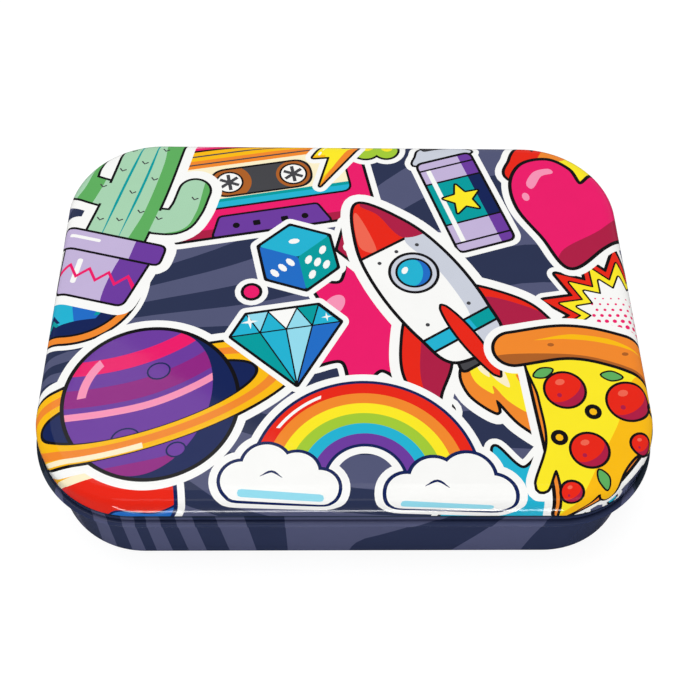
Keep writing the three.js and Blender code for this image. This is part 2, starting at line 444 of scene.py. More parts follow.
def cactus():
    trunk = stroke([(0, -18), (0.6, 2), (0, 22)], 15.5)
    left = stroke([(-4, -1), (-14.2, 0.5), (-16.2, 5), (-16.2, 13)], 8.6)
    right = stroke([(4, -7), (13.2, -5.6), (15.4, -1), (15.6, 6)], 8.0)
    pot = rounded([(-12, -17), (12, -17), (9.2, -35), (-9.2, -35)], 1.6)
    rim = box(-14, -20.5, 14, -14.6, 1.5)
    marks = inked("mint", left) + inked("mint", right) + inked("mint", trunk)
    marks += [mark("mint", box(-9, -4.5, -4, 3.0)), mark("mint", box(4, -10.4, 9.2, -3.0))]
    marks += [
        mark("green", curve([(3.6, -20), (4.8, -4), (4.4, 14), (2.4, 28), (12, 28), (12, -20)]), trunk),
        mark("green", curve([(-15, -6), (-13.4, 0.8), (-13.4, 16), (-9, 16), (-10, -6)]), left),
        mark("green", curve([(6, -13), (16, -8), (18.2, -1), (17.6, 12), (22, 12), (22, -12)]), right),
    ]
    ribs = ([(-3.6, -16), (-3.4, 4), (-2.8, 23)], [(1, -14), (1.4, 6), (1, 24)], [(-17.6, 4), (-17.8, 12)])
    marks += [mark("teal", stroke(rib, 0.7, 0.2, 0.2)) for rib in ribs]
    spines = ((-5.4, 16), (-5.8, 8), (-5.8, -10), (-0.8, 12), (-0.6, 1), (-0.8, -9), (3.4, 18), (3.6, 7))
    spines += ((3.8, -5), (-14.6, 9), (-18.6, 8), (16.4, 3), (-9, 1.2), (9.2, -6))
    for x, y in spines:
        spine = [(x - 0.8, y + 0.7), (x, y), (x + 0.8, y + 0.7)]
        marks += [mark("charcoal", stroke(spine, 0.42, smooth=False))]
    for angle in range(-90, 91, 36):
        marks += inked("magenta", turned(oval(0, 3.0, 1.9, 3.0), angle, 1.0, 0, 29.2), 0.45)
    marks += inked("amber", oval(0, 29.6, 2.0), 0.45)
    marks += inked("lavender", pot)
    zigzag = [(-10.4 + 2.6 * i, -27.6 + (1.6 if i % 2 else -1.6)) for i in range(9)]
    marks += [
        mark("violet", curve([(5, -16), (3.8, -36), (13, -36), (14, -16)]), pot),
        mark("white", turned(box(-8.2, -31, -6.8, -23, 0.6), 4)),
        mark("magenta", stroke(zigzag, 1.2, smooth=False), pot),
    ]
    marks += inked("lavender", rim) + [mark("violet", box(6, -22, 15, -13), rim)]
    return marks + [mark("white", box(-11.6, -17.2, -3, -16.2, 0.45))]


def pizza():
    wedge = rounded([(-19, 14), (19, 14), (2.0, -27), (-1.0, -27.5)], 2.0)
    melt = curve(
        [(-17, 12), (0, 15), (17, 12), (13.6, 3), (14.4, -2.5), (11.9, -4.4), (10.0, -6.0), (8.2, -11)]
        + [(8.6, -17), (6.0, -17.6), (4.6, -17), (2.6, -24), (0.4, -27.2), (-1.6, -23), (-5.4, -14.5)]
        + [(-6.4, -19.6), (-8.8, -19), (-8.6, -8.5), (-12.6, 2)]
    )
    crust = stroke([(-21, 12.6), (-10, 18.2), (0, 19.6), (10, 18.2), (21, 12.6)], 8.2)
    shaded = curve([(7, 14), (5, 0), (2.4, -12), (0, -30), (12, -14), (20, 8), (18, 16)])
    marks = inked("orange", wedge, 0.8) + inked("yellow", melt, 0.6) + [mark("amber", shaded, melt)]
    slices = ((-7.6, 5.6, 4.3), (6.4, 7.0, 4.6), (0.4, -7.6, 3.9), (11.0, -2.6, 2.3), (-1.2, -18.4, 2.2))
    for x, y, r in slices:
        marks += inked("red", oval(x, y, r), 0.6) + [mark("crimson", shade(x, y, r, r * 0.45, -35))]
        marks += [mark("crimson", oval(x - r * 0.2, y - r * 0.4, r * 0.13))]
        marks += [mark("coral", oval(x - r * 0.34, y + r * 0.38, r * 0.26, r * 0.18, 35))]
    for x, y in ((-0.6, 2.0), (-6.4, -6.6), (12.6, 7.6)):
        marks += [mark("black", oval(x, y, 1.9)), mark("amber", oval(x, y, 0.85))]
    for x, y, angle in ((-13.2, 8.4, 40), (4.6, -13.4, -50), (1.6, 12.4, 10)):
        leaf = turned(curve([(-2.2, 0), (0, 1.1), (2.4, 0), (0, -1.1)]), angle, 1.0, x, y)
        marks += inked("green", leaf, 0.4)
    below = [(-24, 9.6), (-10, 14.8), (0, 16.2), (10, 14.8), (24, 9.6), (16, 8), (0, 12), (-16, 8)]
    marks += inked("orange", crust, 0.8) + [mark("brown", curve(below), crust)]
    marks += [mark("amber", stroke([(-17, 16.4), (-9, 20.0), (0, 21.4), (8, 20.3)], 1.4, 0, 0))]
    specks = ((-13, 16.4), (3.6, 19.2), (12.6, 17.2))
    return marks + [mark("brown", oval(x, y, 0.8, 0.5, 20)) for x, y in specks]


def burning_heart():
    half = [(0.01, 8.6), (3.2, 12.6), (8.6, 14.6), (14.4, 11.8), (16.2, 5.4), (13.6, -2.2), (7.0, -9.6)]
    half.append((0.01, -17.2))
    shape = curve(np.vstack([half[:-1], flipped(half)[:-1]]))
    flame = curve(
        [(-15, 6), (-17.4, 13), (-14.6, 20), (-12.4, 17), (-11.2, 25), (-7.0, 31), (-6.8, 25.6)]
        + [(-3.6, 28), (-1.8, 36.4), (2.4, 31), (2.8, 25.4), (5.6, 30.4), (8.0, 27.6), (9.0, 22.4)]
        + [(12.4, 26.4), (15.2, 19.4), (13.6, 15.4), (17.2, 12.6), (15.4, 6)]
    )
    hot = curve(
        [(-13, 8), (-13.8, 13), (-11.2, 14.4), (-9.0, 21.4), (-6.2, 20.2), (-4.4, 24.2), (-1.2, 28.6)]
        + [(0.6, 22.4), (4.4, 23.6), (6.4, 19.6), (10.4, 20.0), (11.4, 15.2), (14.2, 11.6), (13.2, 7)]
    )
    core = curve(
        [(-10, 10), (-8.4, 15), (-5.0, 15.4), (-1.4, 21), (0.8, 16.6), (4.6, 17.4), (8.0, 14.6), (10, 10)]
    )
    marks = inked("red", flame, 0.8) + [mark("orange", hot), mark("yellow", core)]
    marks += inked("magenta", shape, 0.9)
    dark = curve([(10, 15), (11.4, 5), (6.4, -4), (-2.4, -13), (-1, -20), (12, -12), (20, 4), (18, 14)])
    shine = [(-12.8, 6.2), (-11.4, 10.2), (-8, 12), (-6.8, 10.8), (-9.4, 9.2), (-10.6, 5.6), (-11.6, 4.6)]
    marks += marks_in(shape, ("crimson", dark), ("pink", curve(shine)))
    return marks + [mark("pink", oval(-12.4, 1.8, 0.9, 1.3, 20))]


def cassette():
    shell = box(-26, -16, 26, 16, 3.2)
    label = box(-21.5, -7.0, 21.5, 12.4, 2.0)
    window = box(-12.5, -3.4, 12.5, 5.0, 4.1)
    foot = rounded([(-14.6, -16), (-12.2, -10.2), (12.2, -10.2), (14.6, -16)], 0.6)
    marks = inked("magenta", shell, 0.8) + [mark("crimson", box(-28, -18, 28, -13.6), shell)]
    marks += inked("cream", label, 0.6)
    stripes = (("amber", 9.4, 12.4), ("orange", 6.8, 9.4), ("turquoise", -7.2, -5.2), ("teal", -5.2, -4.2))
    marks += marks_in(label, *((ink, box(-24, low, 24, high)) for ink, low, high in stripes))
    marks += inked("charcoal", window, 0.6)
    marks += marks_in(window, ("brown", oval(-8.2, 0.8, 5.6)), ("brown", oval(8.2, 0.8, 4.4)))
    for x in (-8.2, 8.2):
        marks += inked("white", oval(x, 0.8, 3.1), 0.5)
        teeth = [turned(box(-0.45, 0.9, 0.45, 2.6), angle, 1.0, x, 0.8) for angle in range(0, 360, 60)]
        marks += [mark("charcoal", tooth) for tooth in teeth] + [mark("charcoal", oval(x, 0.8, 1.0))]
    marks += inked("violet", foot, 0.6)
    for side in (-1, 1):
        marks += [mark("black", oval(8.6 * side, -13.4, 0.9))]
        marks += [mark("black", box(3.5 * side - 0.9, -14.2, 3.5 * side + 0.9, -12.6, 0.3))]
        for y in (-13.2, 13.2):
            marks += [mark("black", oval(23.2 * side, y, 1.15)), mark("grey", oval(23.2 * side, y, 0.75))]
    marks += [mark("pink", box(-22, 14.0, -6, 14.9, 0.4)), mark("pink", box(-4.6, 14.0, -2.4, 14.9, 0.4))]
    return marks + [mark("charcoal", stroke([(-18, y), (18, y)], 0.45)) for y in (10.9, 8.1)]


def lightning():
    corners = [(4, 24), (-13, -3.4), (-3.4, -2.4), (-9, -24), (12.6, 5.2), (2.6, 4.6), (13, 22)]
    shape = rounded(corners, 0.8)
    marks = inked("amber", shape, 1.3) + [mark("yellow", turned(shape, 0, 1.0, -2.2, 1.4), shape)]
    marks += [mark("orange", curve([(12.6, 5.2), (5, 1), (-9, -24), (0, -20), (16, 4)]), shape)]
    marks += [mark("white", stroke([(3.4, 20.6), (-7.2, 2.6)], 1.2, 1, 0.3))]
    return marks + [mark("white", stroke([(-8.4, 0.6), (-9.3, -0.9)], 1.2))]


def cloud(x, y, size, way):
    """A cloud that faces the other way where way is -1."""
    discs = ((-8, 0, 4.2), (-3.4, 3.6, 4.8), (2.8, 2.6, 4.4), (7.6, -0.4, 3.8))
    puffs = [oval(way * a, b, r) for a, b, r in discs]
    puffs.append(box(-11, -4.2, 10.4, 1, 3.4) * (way, 1))
    marks = [mark("midnight", grown(puff, 0.7)) for puff in puffs]
    marks += [mark("white", puff) for puff in puffs]
    marks += [mark("sky", box(-8.6, -3.4, 8.6, -1.8, 0.8))]
    marks += [mark("midnight", stroke([(-4.4, 1.2), (-2.2, 2.4), (0, 1.2)], 0.5, 0.2, 0.2))]
    return placed(marks, x, y, 0, size)


def rainbow():
    stripes = ("red", "orange", "yellow", "lime", "turquoise", "violet")
    wide, outer = 2.5, 24.0
    marks = [mark("midnight", grown(arch(outer, outer - wide * len(stripes)), 0.7))]
    marks += [mark(ink, arch(outer - wide * i, outer - wide * (i + 1))) for i, ink in enumerate(stripes)]
    marks += [mark("white", arch(22.9, 22.2, 118, 150, 1))]
    return marks + cloud(-17.5, -1.5, 1.05, 1) + cloud(17.5, -1.5, 1.15, -1)


def gem():
    top, waist, tip = 10.5, 4.0, (0, -14.0)
    girdle = [(x, waist) for x in (-15, -7.2, 0, 7.2, 15)]
    table = [(x, top) for x in (-10, -4, 4, 10)]
    marks = [mark("black", grown(table[::-1] + [girdle[0], tip, girdle[4]], 0.8))]
    corners = [p for pair in zip(girdle, table + [girdle[4]]) for p in pair][:-1]
    for i, ink in enumerate(("turquoise", "sky", "turquoise", "white", "sky", "teal", "turquoise")):
        marks += [mark(ink, corners[i : i + 3])]
    for i, ink in enumerate(("teal", "turquoise", "sky", "blue")):
        marks += [mark(ink, [girdle[i], tip, girdle[i + 1]])]
    folds = [(girdle[0], girdle[4])] + list(zip(corners[1:-1], corners[2:]))
    folds += [(p, tip) for p in girdle[1:4]]
    marks += [mark("black", stroke(fold, 0.42)) for fold in folds]
    glints = ((2.4, 0.6, 4, -9.5, 8.0), (1.5, 0.4, 4, 11.6, 6.2))
    return marks + [mark("white", star(*glint)) for glint in glints]


def burst():
    """Three stars in one another, with dots in the middle that shrink towards the top."""
    core = star(13.0, 8.8, 14, radius=0.4)
    marks = inked("red", star(22, 14.5, 14, radius=0.4), 0.9)
    marks += inked("yellow", star(17.6, 11.6, 14, radius=0.4), 0.5) + inked("white", core, 0.5)
    pitch, row_share, reach = 2.1, 0.87, 9.6
    smallest, largest = 0.2, 0.95
    for i in range(-5, 6):
        for j in range(-5, 6):
            x, y = pitch * (i + 0.5 * (j % 2)), pitch * row_share * j
            size = 0.24 + 0.045 * (6 - y)
            if math.hypot(x, y) < reach and size > smallest:
                marks += [mark("magenta", oval(x, y, min(size, largest)), core)]
    return marks


def die(x, y, size, angle, inks):
    """A die seen from one corner. Its inks are the top's, the left's and the right's."""
    c, h = 0.866, 0.5  # half the width of the die, and half the height of a side, as shares of its size
    top = [(0, 1), (c, h), (0, 0), (-c, h)]
    left = [(-c, h), (0, 0), (0, -1), (-c, -h)]
    right = [(0, 0), (c, h), (c, -h), (0, -1)]
    outline = np.array([(0, 1), (-c, h), (-c, -h), (0, -1), (c, -h), (c, h)])
    marks = [mark("black", grown(outline, 0.8 / size))]
    marks += [mark(ink, rounded(side, 0.06)) for ink, side in zip(inks, (top, left, right))]
    faces = (
        ((0, 0), (c, h), (-c, h), [(0.5, 0.5)]),
        ((-c, -h), (c, -h), (0, 1), [(0.25, 0.25), (0.5, 0.5), (0.75, 0.75)]),
        ((0, -1), (c, h), (0, 1), [(0.27, 0.27), (0.73, 0.27), (0.27, 0.73), (0.73, 0.73), (0.5, 0.5)]),
    )
    dot = oval(0, 0, 1.0) * 0.115
    for corner, across, up, pips in faces:
        for pip in pips:
            marks += [mark("white", np.array(corner) + (dot + pip) @ np.array([across, up]))]
    return placed(marks, x, y, angle, size)


def dice():
    blue_one = die(-8, -2, 10.5, 12, ("turquoise", "blue", "teal"))
    return blue_one + die(11, 3, 9.2, -14, ("coral", "crimson", "red"))


def spray_can():
    body = box(-8, -24, 8, 9, 1.6)
    cap = box(-3.0, 17, 3.0, 22, 1.0)
    puffs = ((-12, 22, 4.0), (-16.5, 25, 4.6), (-20, 20, 4.2), (-14.5, 17.6, 3.4), (-22.5, 24.6, 3.4))
    marks = [mark("black", grown(oval(*puff), 0.7)) for puff in puffs]
    marks += [mark("lime", oval(*puff)) for puff in puffs]
    marks += [mark("yellow", oval(x + 0.6, y + 0.8, r * 0.5)) for x, y, r in puffs[1:4]]
    marks += inked("lime", stroke([(-8.4, 20.0), (-4.4, 20.0)], 1.6), 0.5)
    marks += inked("grey", curve([(-8, 9), (-7.2, 12.2), (-4.4, 14.6), (4.4, 14.6), (7.2, 12.2), (8, 9)]))
    marks += inked("charcoal", box(-4.2, 14, 4.2, 17, 0.6), 0.6)
    marks += inked("white", cap) + inked("lavender", body, 0.8)
    marks += marks_in(
        body,
        ("violet", box(4.4, -26, 12, 12)),
        ("black", box(-12, -14.6, 12, 1.4)),
        ("teal", box(-12, -14, 12, 0.8)),
        ("midnight", box(4.4, -14, 12, 0.8)),
    )
    marks += [mark("white", box(-6.4, -21.5, -5.0, 6.5, 0.7))]
    marks += [mark("charcoal", box(-3.8, 18.6, -2.0, 21.0, 0.4)), mark("grey", box(1.2, 17, 6, 22), cap)]
    marks += marks_in(body, ("black", box(-9, 6.1, 9, 6.7)), ("black", box(-9, -21.5, 9, -20.9)))
    return marks + inked("yellow", star(5.6, 2.5, 5, -0.2, -6.6, 0.3), 0.6)


def badge():
    disc = oval(0, 0, 17)
    rims = (("black", 20.1), ("orange", 19.4), ("black", 17.6))
    marks = [mark(ink, oval(0, 0, radius)) for ink, radius in rims] + [mark("midnight", disc)]
    marks += marks_in(
        disc,
        ("violet", box(-20, -20, 20, 3)),
        ("magenta", box(-20, -20, 20, -3)),
        ("amber", oval(4.6, 5.6, 6.6)),
        ("yellow", oval(3.9, 6.2, 5.4)),
    )
    marks += [mark("amber", oval(6.0, 7.6, 1.3)), mark("amber", oval(2.2, 3.6, 0.9))]
    stars = ((-9, 9.4), (-3.6, 13.2), (-12.6, 3.6), (12.4, 9.0))
    marks += [mark("white", star(1.2, 0.35, 4, x, y)) for x, y in stars]
    peaks = [(20, -20), (20, -10), (11, -1.4), (7, -5), (-1, 4.4), (-6, -4), (-12, 2.4), (-20, -6)]
    marks += inked("turquoise", peaks + [(-20, -20)], 0.45, within=disc)
    snow = np.array([(0, 0), (0.9, -1), (0.3, -0.7), (-0.1, -1.15), (-0.5, -0.7), (-0.95, -1)])
    for x, y, size in ((-12, 2.4, 3.0), (-1, 4.4, 3.6), (11, -1.4, 2.2)):
        marks += [mark("white", snow * size + (x, y), disc)]
    marks += [mark("blue", [(-1, 4.4), (7, -5), (12, -20), (2, -20), (1.2, -6)], disc)]
    marks += [mark("blue", [(-12, 2.4), (-6, -4), (-5, -20), (-11, -20), (-10.4, -6)], disc)]
    trees = ((-13, -10.4, 1.1), (-8.6, -12.6, 1.25), (9.6, -11.0, 1.3), (14, -9.4, 1.0), (-3.8, -14.0, 1.0))
    for x, y, size in trees:
        for k, ink in enumerate(("midnight", "teal", "midnight")):
            bough = np.array([(0, 4.2), (2.0 + 0.35 * k, 1.0), (-2.0 - 0.35 * k, 1.0)]) - (0, 1.6 * k)
            marks += [mark(ink, bough * size + (x, y), disc)]
    meadow = curve([(-22, -13.4), (-8, -15), (4, -12.8), (22, -14.6), (20, -24), (-20, -24)])
    return marks + [mark("midnight", meadow, disc)]


def splat(ink="magenta", shine="pink"):
    reach = (17, 12, 19.5, 12.6, 20, 12, 16.4, 11.6, 21, 12.8, 17.6, 11.8, 19.6, 12.4, 22, 12.2, 18.4, 12.2)
    turns = np.radians(np.arange(len(reach)) * 360 / len(reach))
    body = curve(np.array(reach)[:, None] * np.stack([np.cos(turns), np.sin(turns)], 1))
    marks = inked(ink, body, 0.8)
    for x, y, size in ((22, 14, 2.1), (-21.5, 16, 1.7), (6, -26, 1.9), (24.5, -11, 1.5), (-10, 24, 1.3)):
        marks += inked(ink, oval(x, y, size))
    return marks + [mark(shine, oval(-6, 6.4, 3.4, 2.0, 35)), mark(shine, oval(-10.4, 1.6, 1.1))]


def teal_splat():
    return splat("turquoise", "sky")


def evening_sun():
    disc = oval(0, 0, 19)
    marks = inked("orange", disc, 0.9, "midnight") + [mark("amber", oval(0, 4, 12.5), disc)]
    marks += marks_in(disc, ("cream", box(-20, 4.6, 20, 6.4)), ("red", box(-20, -20, 20, 4.6)))
    x = np.linspace(-22, 22, 45)
    wave = 1.5 * np.sin(x / 2.6)
    for y, ink in ((-7.0, "midnight"), (-7.8, "blue"), (-11.6, "white"), (-12.6, "turquoise")):
        marks += [mark(ink, band(np.c_[x, y + wave], [(-22, -24), (22, -24)]), disc)]
    return marks


def fan_of_bands():
    """Slate bands that spread and sway over the navy ground.
    They sway in a short ripple that grows with their reach, and in a long, steady one."""
    middle = np.array([-96.0, -30.0])
    pitch, wide = 9.6, 4.8
    reach = np.linspace(10, 230, 40)
    ripple = 9.0 * np.sin(reach / 21.0 + 0.6) * (0.35 + reach / 260)
    sway = (ripple + 12 * np.sin(reach / 60)) / np.maximum(reach, 30)

    def ray(angle):
        turns = math.radians(angle) + 1.15 * sway
        return middle + reach[:, None] * np.stack([np.cos(turns), np.sin(turns)], 1)

    return [mark("slate", band(ray(angle), ray(angle + wide))) for angle in np.arange(-84, 130, pitch)]


# Each sticker: motif, x, y, angle, scale and white border
STICKERS = (
    (evening_sun, -58, -54, 14, 1.0, 1.6),
    (teal_splat, 40, -58, 30, 0.9, 1.4),
    (splat, 6, -6, 20, 1.15, 1.4),
    (badge, -70, 6, 8, 0.98, 1.3),
    (cassette, -22, 40, 11, 1.06, 1.6),
    (burst, 70, -4, 0, 0.95, 1.3),
    (cactus, -56, 34, -14, 0.98, 2.6),
    (spray_can, 30, 40, 18, 0.95, 1.5),
    (burning_heart, 62, 30, -12, 1.12, 1.8),
    (dice, -4, 16, 0, 1.0, 1.5),
    (planet, -46, -29, 4, 1.18, 2.0),
    (rocket, 22, 2, 32, 1.12, 2.4),
    (pizza, 58, -34, -18, 1.08, 1.8),
    (rainbow, 4, -50, -4, 1.08, 1.8),
    (gem, -14, -12, 10, 0.9, 1.4),
    (lightning, -2, 50, 0, 0.5, 1.4),
)


def sticker_marks():
    """Every mark of the lid's top, the lowest first."""
    marks = [mark("navy", box(*STICKER_GROUND))] + fan_of_bands()
    for motif, x, y, angle, scale, border in STICKERS:
        marks += placed(cut_out(motif(), border / scale), x, y, angle, scale)
    return marks


# Sections of the sheet metal. Points are [out, up] in millimetres, out from the wall's outer face.
BASE_BEND_STEPS = (8, 6)  # facets of the bend between wall and foot, outside and inside
RING_UNDER_LID = 1.0  # how far under the lid's edge the tray's wall gets a ring of points


def bend(out, up, radius, start, end, steps):
    """An arc about that point, from one angle to another in degrees."""
    turns = np.radians(np.linspace(start, end, steps + 1))
    return np.stack([out + radius * np.cos(turns), up + radius * np.sin(turns)], 1)


def lid_sections(s):
    """The outside, down to where the rolled rim meets the skirt again, and the inside."""
    crown = s.lid_height - s.shoulder
    outside = [
        bend(-s.shoulder, crown, s.shoulder, 90, 0, s.shoulder_steps),
        [(0.0, s.art_edge), (0.0, s.dim_end - s.lid_edge)],
        bend(s.bore, s.lid_rim, s.bore, 180, LID_RIM_END, s.rim_steps // 2),
        bend(s.bore, s.lid_rim, s.lid_rim, LID_RIM_END, 180, s.rim_steps),
    ]
    inside = [bend(-s.shoulder, crown, s.shoulder - s.plate, 0, 90, s.shoulder_steps // 2)]
    lift = (0.0, s.lid_edge)
    return np.vstack(outside) + lift, np.vstack(inside) + lift


def tray_sections(s):
    """The outside, from the middle of the base to the end of the curl at the mouth, and the inside."""
    mouth = s.tray_height - s.mouth_rim
    foot = s.base_bend + s.foot
    panel = foot + s.recess_run
    outside = [
        [(-panel, s.recess), (-foot, 0.0)],
        bend(-s.base_bend, s.base_bend, s.base_bend, -90, 0, BASE_BEND_STEPS[0]),
        [(0.0, s.lid_edge - RING_UNDER_LID), (0.0, mouth - s.mouth_bare)],
        bend(-s.mouth_rim, mouth, s.mouth_rim, 0, MOUTH_RIM_END, s.rim_steps),
    ]
    inside = [
        bend(-s.mouth_rim, mouth, s.mouth_rim - s.plate, MOUTH_RIM_END, 0, s.rim_steps // 2),
        bend(-s.base_bend, s.base_bend, s.base_bend - s.plate, 0, -90, BASE_BEND_STEPS[1]),
        [(-foot, s.plate), (-panel, s.recess + s.plate)],
    ]
    return np.vstack(outside), np.vstack(inside)


def facing_of(points):
    """The way that the sheet faces at each point of its section, from one flat panel round to the other.
    It is nought where the sheet folds sharply."""
    edges = np.diff(points, axis=0)
    edges /= np.linalg.norm(edges, axis=1, keepdims=True)
    normal = np.stack([-edges[:, 1], edges[:, 0]], 1)
    both = np.vstack([normal[:1], normal]) + np.vstack([normal, normal[-1:]])
    size = np.linalg.norm(both, axis=1)
    facing = np.where(size[:, None] < SHARP_SUM, 0.0, both / np.maximum(size, NO_DIVISOR)[:, None])
    facing[0], facing[-1] = (0.0, 1.0), (0.0, -1.0)
    return facing


class Pressing:
    """A pressed shell on a rounded rectangle, and the flat plane that its outside unrolls into.
    A run is a distance along the section, down from the panel's edge."""

    def __init__(self, half_width, half_depth, corner, section, inner, steps):
        self.core = np.array([half_width - corner, half_depth - corner])
        self.corner = corner
        self.section = section
        self.inner = inner
        self.facing, self.inner_facing = np.split(facing_of(np.vstack([section, inner])), [len(section)])
        self.run = np.concatenate([[0.0], np.cumsum(np.linalg.norm(np.diff(section, axis=0), axis=1))])
        self.panel = corner + section[0][0]
        self.steps = steps

    def columns(self):
        """Points of the core and the outward directions, all round."""
        turns = np.radians(np.arange(self.steps + 1) * 90.0 / self.steps)
        places, outs = [], []
        for i, (sx, sy) in enumerate(((1, 1), (-1, 1), (-1, -1), (1, -1))):
            for angle in turns + i * math.pi / 2:
                places.append((sx * self.core[0], sy * self.core[1]))
                outs.append((math.cos(angle), math.sin(angle)))
        return np.array(places), np.array(outs)

    def flat_ring(self, run):
        places, outs = self.columns()
        return places + outs * (self.panel + run)

    def ring(self, out, up):
        places, outs = self.columns()
        return np.c_[places + outs * (self.corner + out), np.full(len(places), up)]

    def split(self, flat):
        """Each flat point's place on the core, its outward direction and its run."""
        core = np.clip(flat, -self.core, self.core)
        away = flat - core
        reach = np.linalg.norm(away, axis=1)
        outs = away / np.maximum(reach, NO_DIVISOR)[:, None]
        return core, outs, reach - self.panel

    def folded(self, flat):
        """The flat points on the pressed surface, and the way that the surface faces there."""
        core, outs, run = self.split(flat)
        out = np.interp(run, self.run, self.section[:, 0])
        up = np.interp(run, self.run, self.section[:, 1])
        spots = np.c_[core + outs * (self.corner + out)[:, None], up]
        on_panel = run < NO_LENGTH
        spots[on_panel, :2] = flat[on_panel]
        face = np.stack([np.interp(run, self.run, self.facing[:, k]) for k in (0, 1)], 1)
        face[on_panel] = self.facing[0]
        return spots, np.c_[outs * face[:, :1], face[:, 1]]

    def inner_rings(self):
        """The rings of the inside, and the way that the surface faces there."""
        _, outs = self.columns()
        facing = [np.c_[outs * out, np.full(len(outs), up)] for out, up in self.inner_facing]
        return np.vstack([self.ring(*point) for point in self.inner]), np.vstack(facing)

    def stops_round(self, reference):
        """Distances from the front's middle to where each straight side and each corner ends.
        They are measured on a wall whose corners have the reference radius."""
        half_x, half_y = self.core
        quarter = reference * math.pi / 2
        to_the_back = [half_x, quarter, 2 * half_y, quarter]
        return np.cumsum([0.0, *to_the_back, 2 * half_x, *to_the_back[:0:-1], half_x])

    def length_round(self, reference):
        return self.stops_round(reference)[-1]

    def along(self, s, run, reference):
        """Flat points at distances s round the wall, from the front's middle and on to the right."""
        stops = self.stops_round(reference)
        s = np.mod(np.asarray(s, float), stops[-1])
        starts = [(0, -1), (1, -1), (1, -1), (1, 1), (1, 1), (-1, 1), (-1, 1), (-1, -1), (-1, -1)]
        ways = [(1, 0), None, (0, 1), None, (-1, 0), None, (0, -1), None, (1, 0)]
        spots = np.zeros((len(s), 2))
        for i, (start, way) in enumerate(zip(starts, ways)):
            here = (s >= stops[i]) & (s <= stops[i + 1])
            gone = (s[here] - stops[i])[:, None]
            core = np.array(start) * self.core
            if way is None:
                turns = gone / reference + math.radians(-90 + 90 * (i // 2))
                outs = np.hstack([np.cos(turns), np.sin(turns)])
            else:
                core = core + gone * np.array(way)
                turns = math.radians(-90 + 90 * (i // 2))
                outs = np.array([[math.cos(turns), math.sin(turns)]])
            spots[here] = core + outs * (self.panel + np.asarray(run)[here])[:, None]
        return spots


# Painting
def inside(outline, points):
    """Which points an outline winds round, also where it crosses itself."""
    found = np.zeros(len(points), bool)
    low, high = outline.min(0), outline.max(0)
    near = np.flatnonzero(np.all((points >= low) & (points <= high), axis=1))
    if not len(near):
        return found
    x, y = points[near].T[:, :, None]
    x0, y0 = outline.T
    x1, y1 = np.roll(outline, -1, 0).T
    leftward = (x1 - x0) * (y - y0) - (x - x0) * (y1 - y0) > 0
    rising = (y0 <= y) & (y < y1) & leftward
    falling = (y1 <= y) & (y < y0) & ~leftward
    found[near] = rising.sum(1) != falling.sum(1)
    return found


def painted(marks, points):
    """The ink on top at each point."""
    inks = np.full(len(points), BARE, object)
    for m in marks:
        here = inside(m.outline, points)
        if m.within is not None:
            here &= inside(m.within, points)
        inks[here] = m.ink
    return inks


def clipped(outline, fence):
    """The outline cut to a convex fence that runs counterclockwise."""
    for a, b in zip(fence, np.roll(fence, -1, 0)):
        edge = b - a
        depth = edge[0] * (outline[:, 1] - a[1]) - edge[1] * (outline[:, 0] - a[0])
        if (depth >= 0).all():
            continue
        if (depth < 0).all():
            return outline[:0]
        following, deeper = np.roll(outline, -1, 0), np.roll(depth, -1)
        points = []
        for p, q, d, e in zip(outline, following, depth, deeper):
            if d >= 0:
                points.append(p)
            if (d >= 0) != (e >= 0):
                points.append(p + (q - p) * d / (d - e))
        outline = np.array(points)
    return outline


def triangles_between(points, edges):
    """Points and triangles that keep to the edges, and add a point wherever two of them cross."""
    found = delaunay_2d_cdt([Vector(p) for p in points], edges, [], 0, WELD, False)
    return np.array([v[:] for v in found[0]]), np.array(found[2])


def closed_edges(start, count):
    """The edges of a ring of points, numbered on from start."""
    return [(start + i, start + (i + 1) % count) for i in range(count)]


def lattice(shell):
    """The rings of the flat plane and, round its corners, the lines across them."""
    rings = [shell.flat_ring(run) for run in shell.run]
    count = len(rings[0])
    edges = []
    for k in range(len(rings)):
        edges += closed_edges(k * count, count)
        if k:
            edges += [((k - 1) * count + i, k * count + i) for i in range(count)]
    return np.vstack(rings), edges


def triangulated(shell, zones):
    """Triangles of the flat plane whose edges follow the marks, and the ink of each.
    They are made twice, and the second time only edges between two inks are kept."""
    points, edges = lattice(shell)
    lined = list(edges)
    spots = [points]
    start = len(points)
    for marks, fence, _ in zones:
        outlines = [line for m in marks for line in (m.outline, m.within) if line is not None]
        for outline in outlines:
            cut = clipped(outline, fence)
            if len(cut) > 2:
                spots.append(cut)
                lined += closed_edges(start, len(cut))
                start += len(cut)
    found, faces = triangles_between(np.vstack(spots), lined)
    inks = ink_of(shell, zones, found[faces].mean(1))
    borders = {}
    for face, name in zip(faces, inks):
        for a, b in zip(face, np.roll(face, -1)):
            borders.setdefault((min(a, b), max(a, b)), set()).add(name)
    kept = np.array([pair for pair, names in borders.items() if len(names) > 1])
    used, renamed = np.unique(kept, return_inverse=True)
    renamed = renamed.reshape(-1, 2) + len(points)
    edges += [tuple(int(i) for i in pair) for pair in renamed]
    found, faces = triangles_between(np.vstack([points, found[used]]), edges)
    return found, faces, ink_of(shell, zones, found[faces].mean(1))


def ink_of(shell, zones, centres):
    """The ink at each point, bare where no zone reaches.
    A zone is its marks, the fence that cuts them off, and the spans of runs that they cover."""
    inks = np.full(len(centres), BARE, object)
    run = shell.split(centres)[2]
    for marks, _, spans in zones:
        for near, far in spans:
            here = (run > near) & (run < far)
            inks[here] = painted(marks, centres[here])
    return inks


# Nodes
LOOKED_AT = ("Is Camera Ray", "Is Transmission Ray")  # rays from the eye, straight or through glass


def fed(tree, node, inputs):
    """The node, with each of its inputs set to a value or linked to the output of another node."""
    for name, value in inputs.items():
        if isinstance(value, bpy.types.NodeSocket):
            tree.links.new(value, node.inputs[name])
        else:
            node.inputs[name].default_value = value
    return node


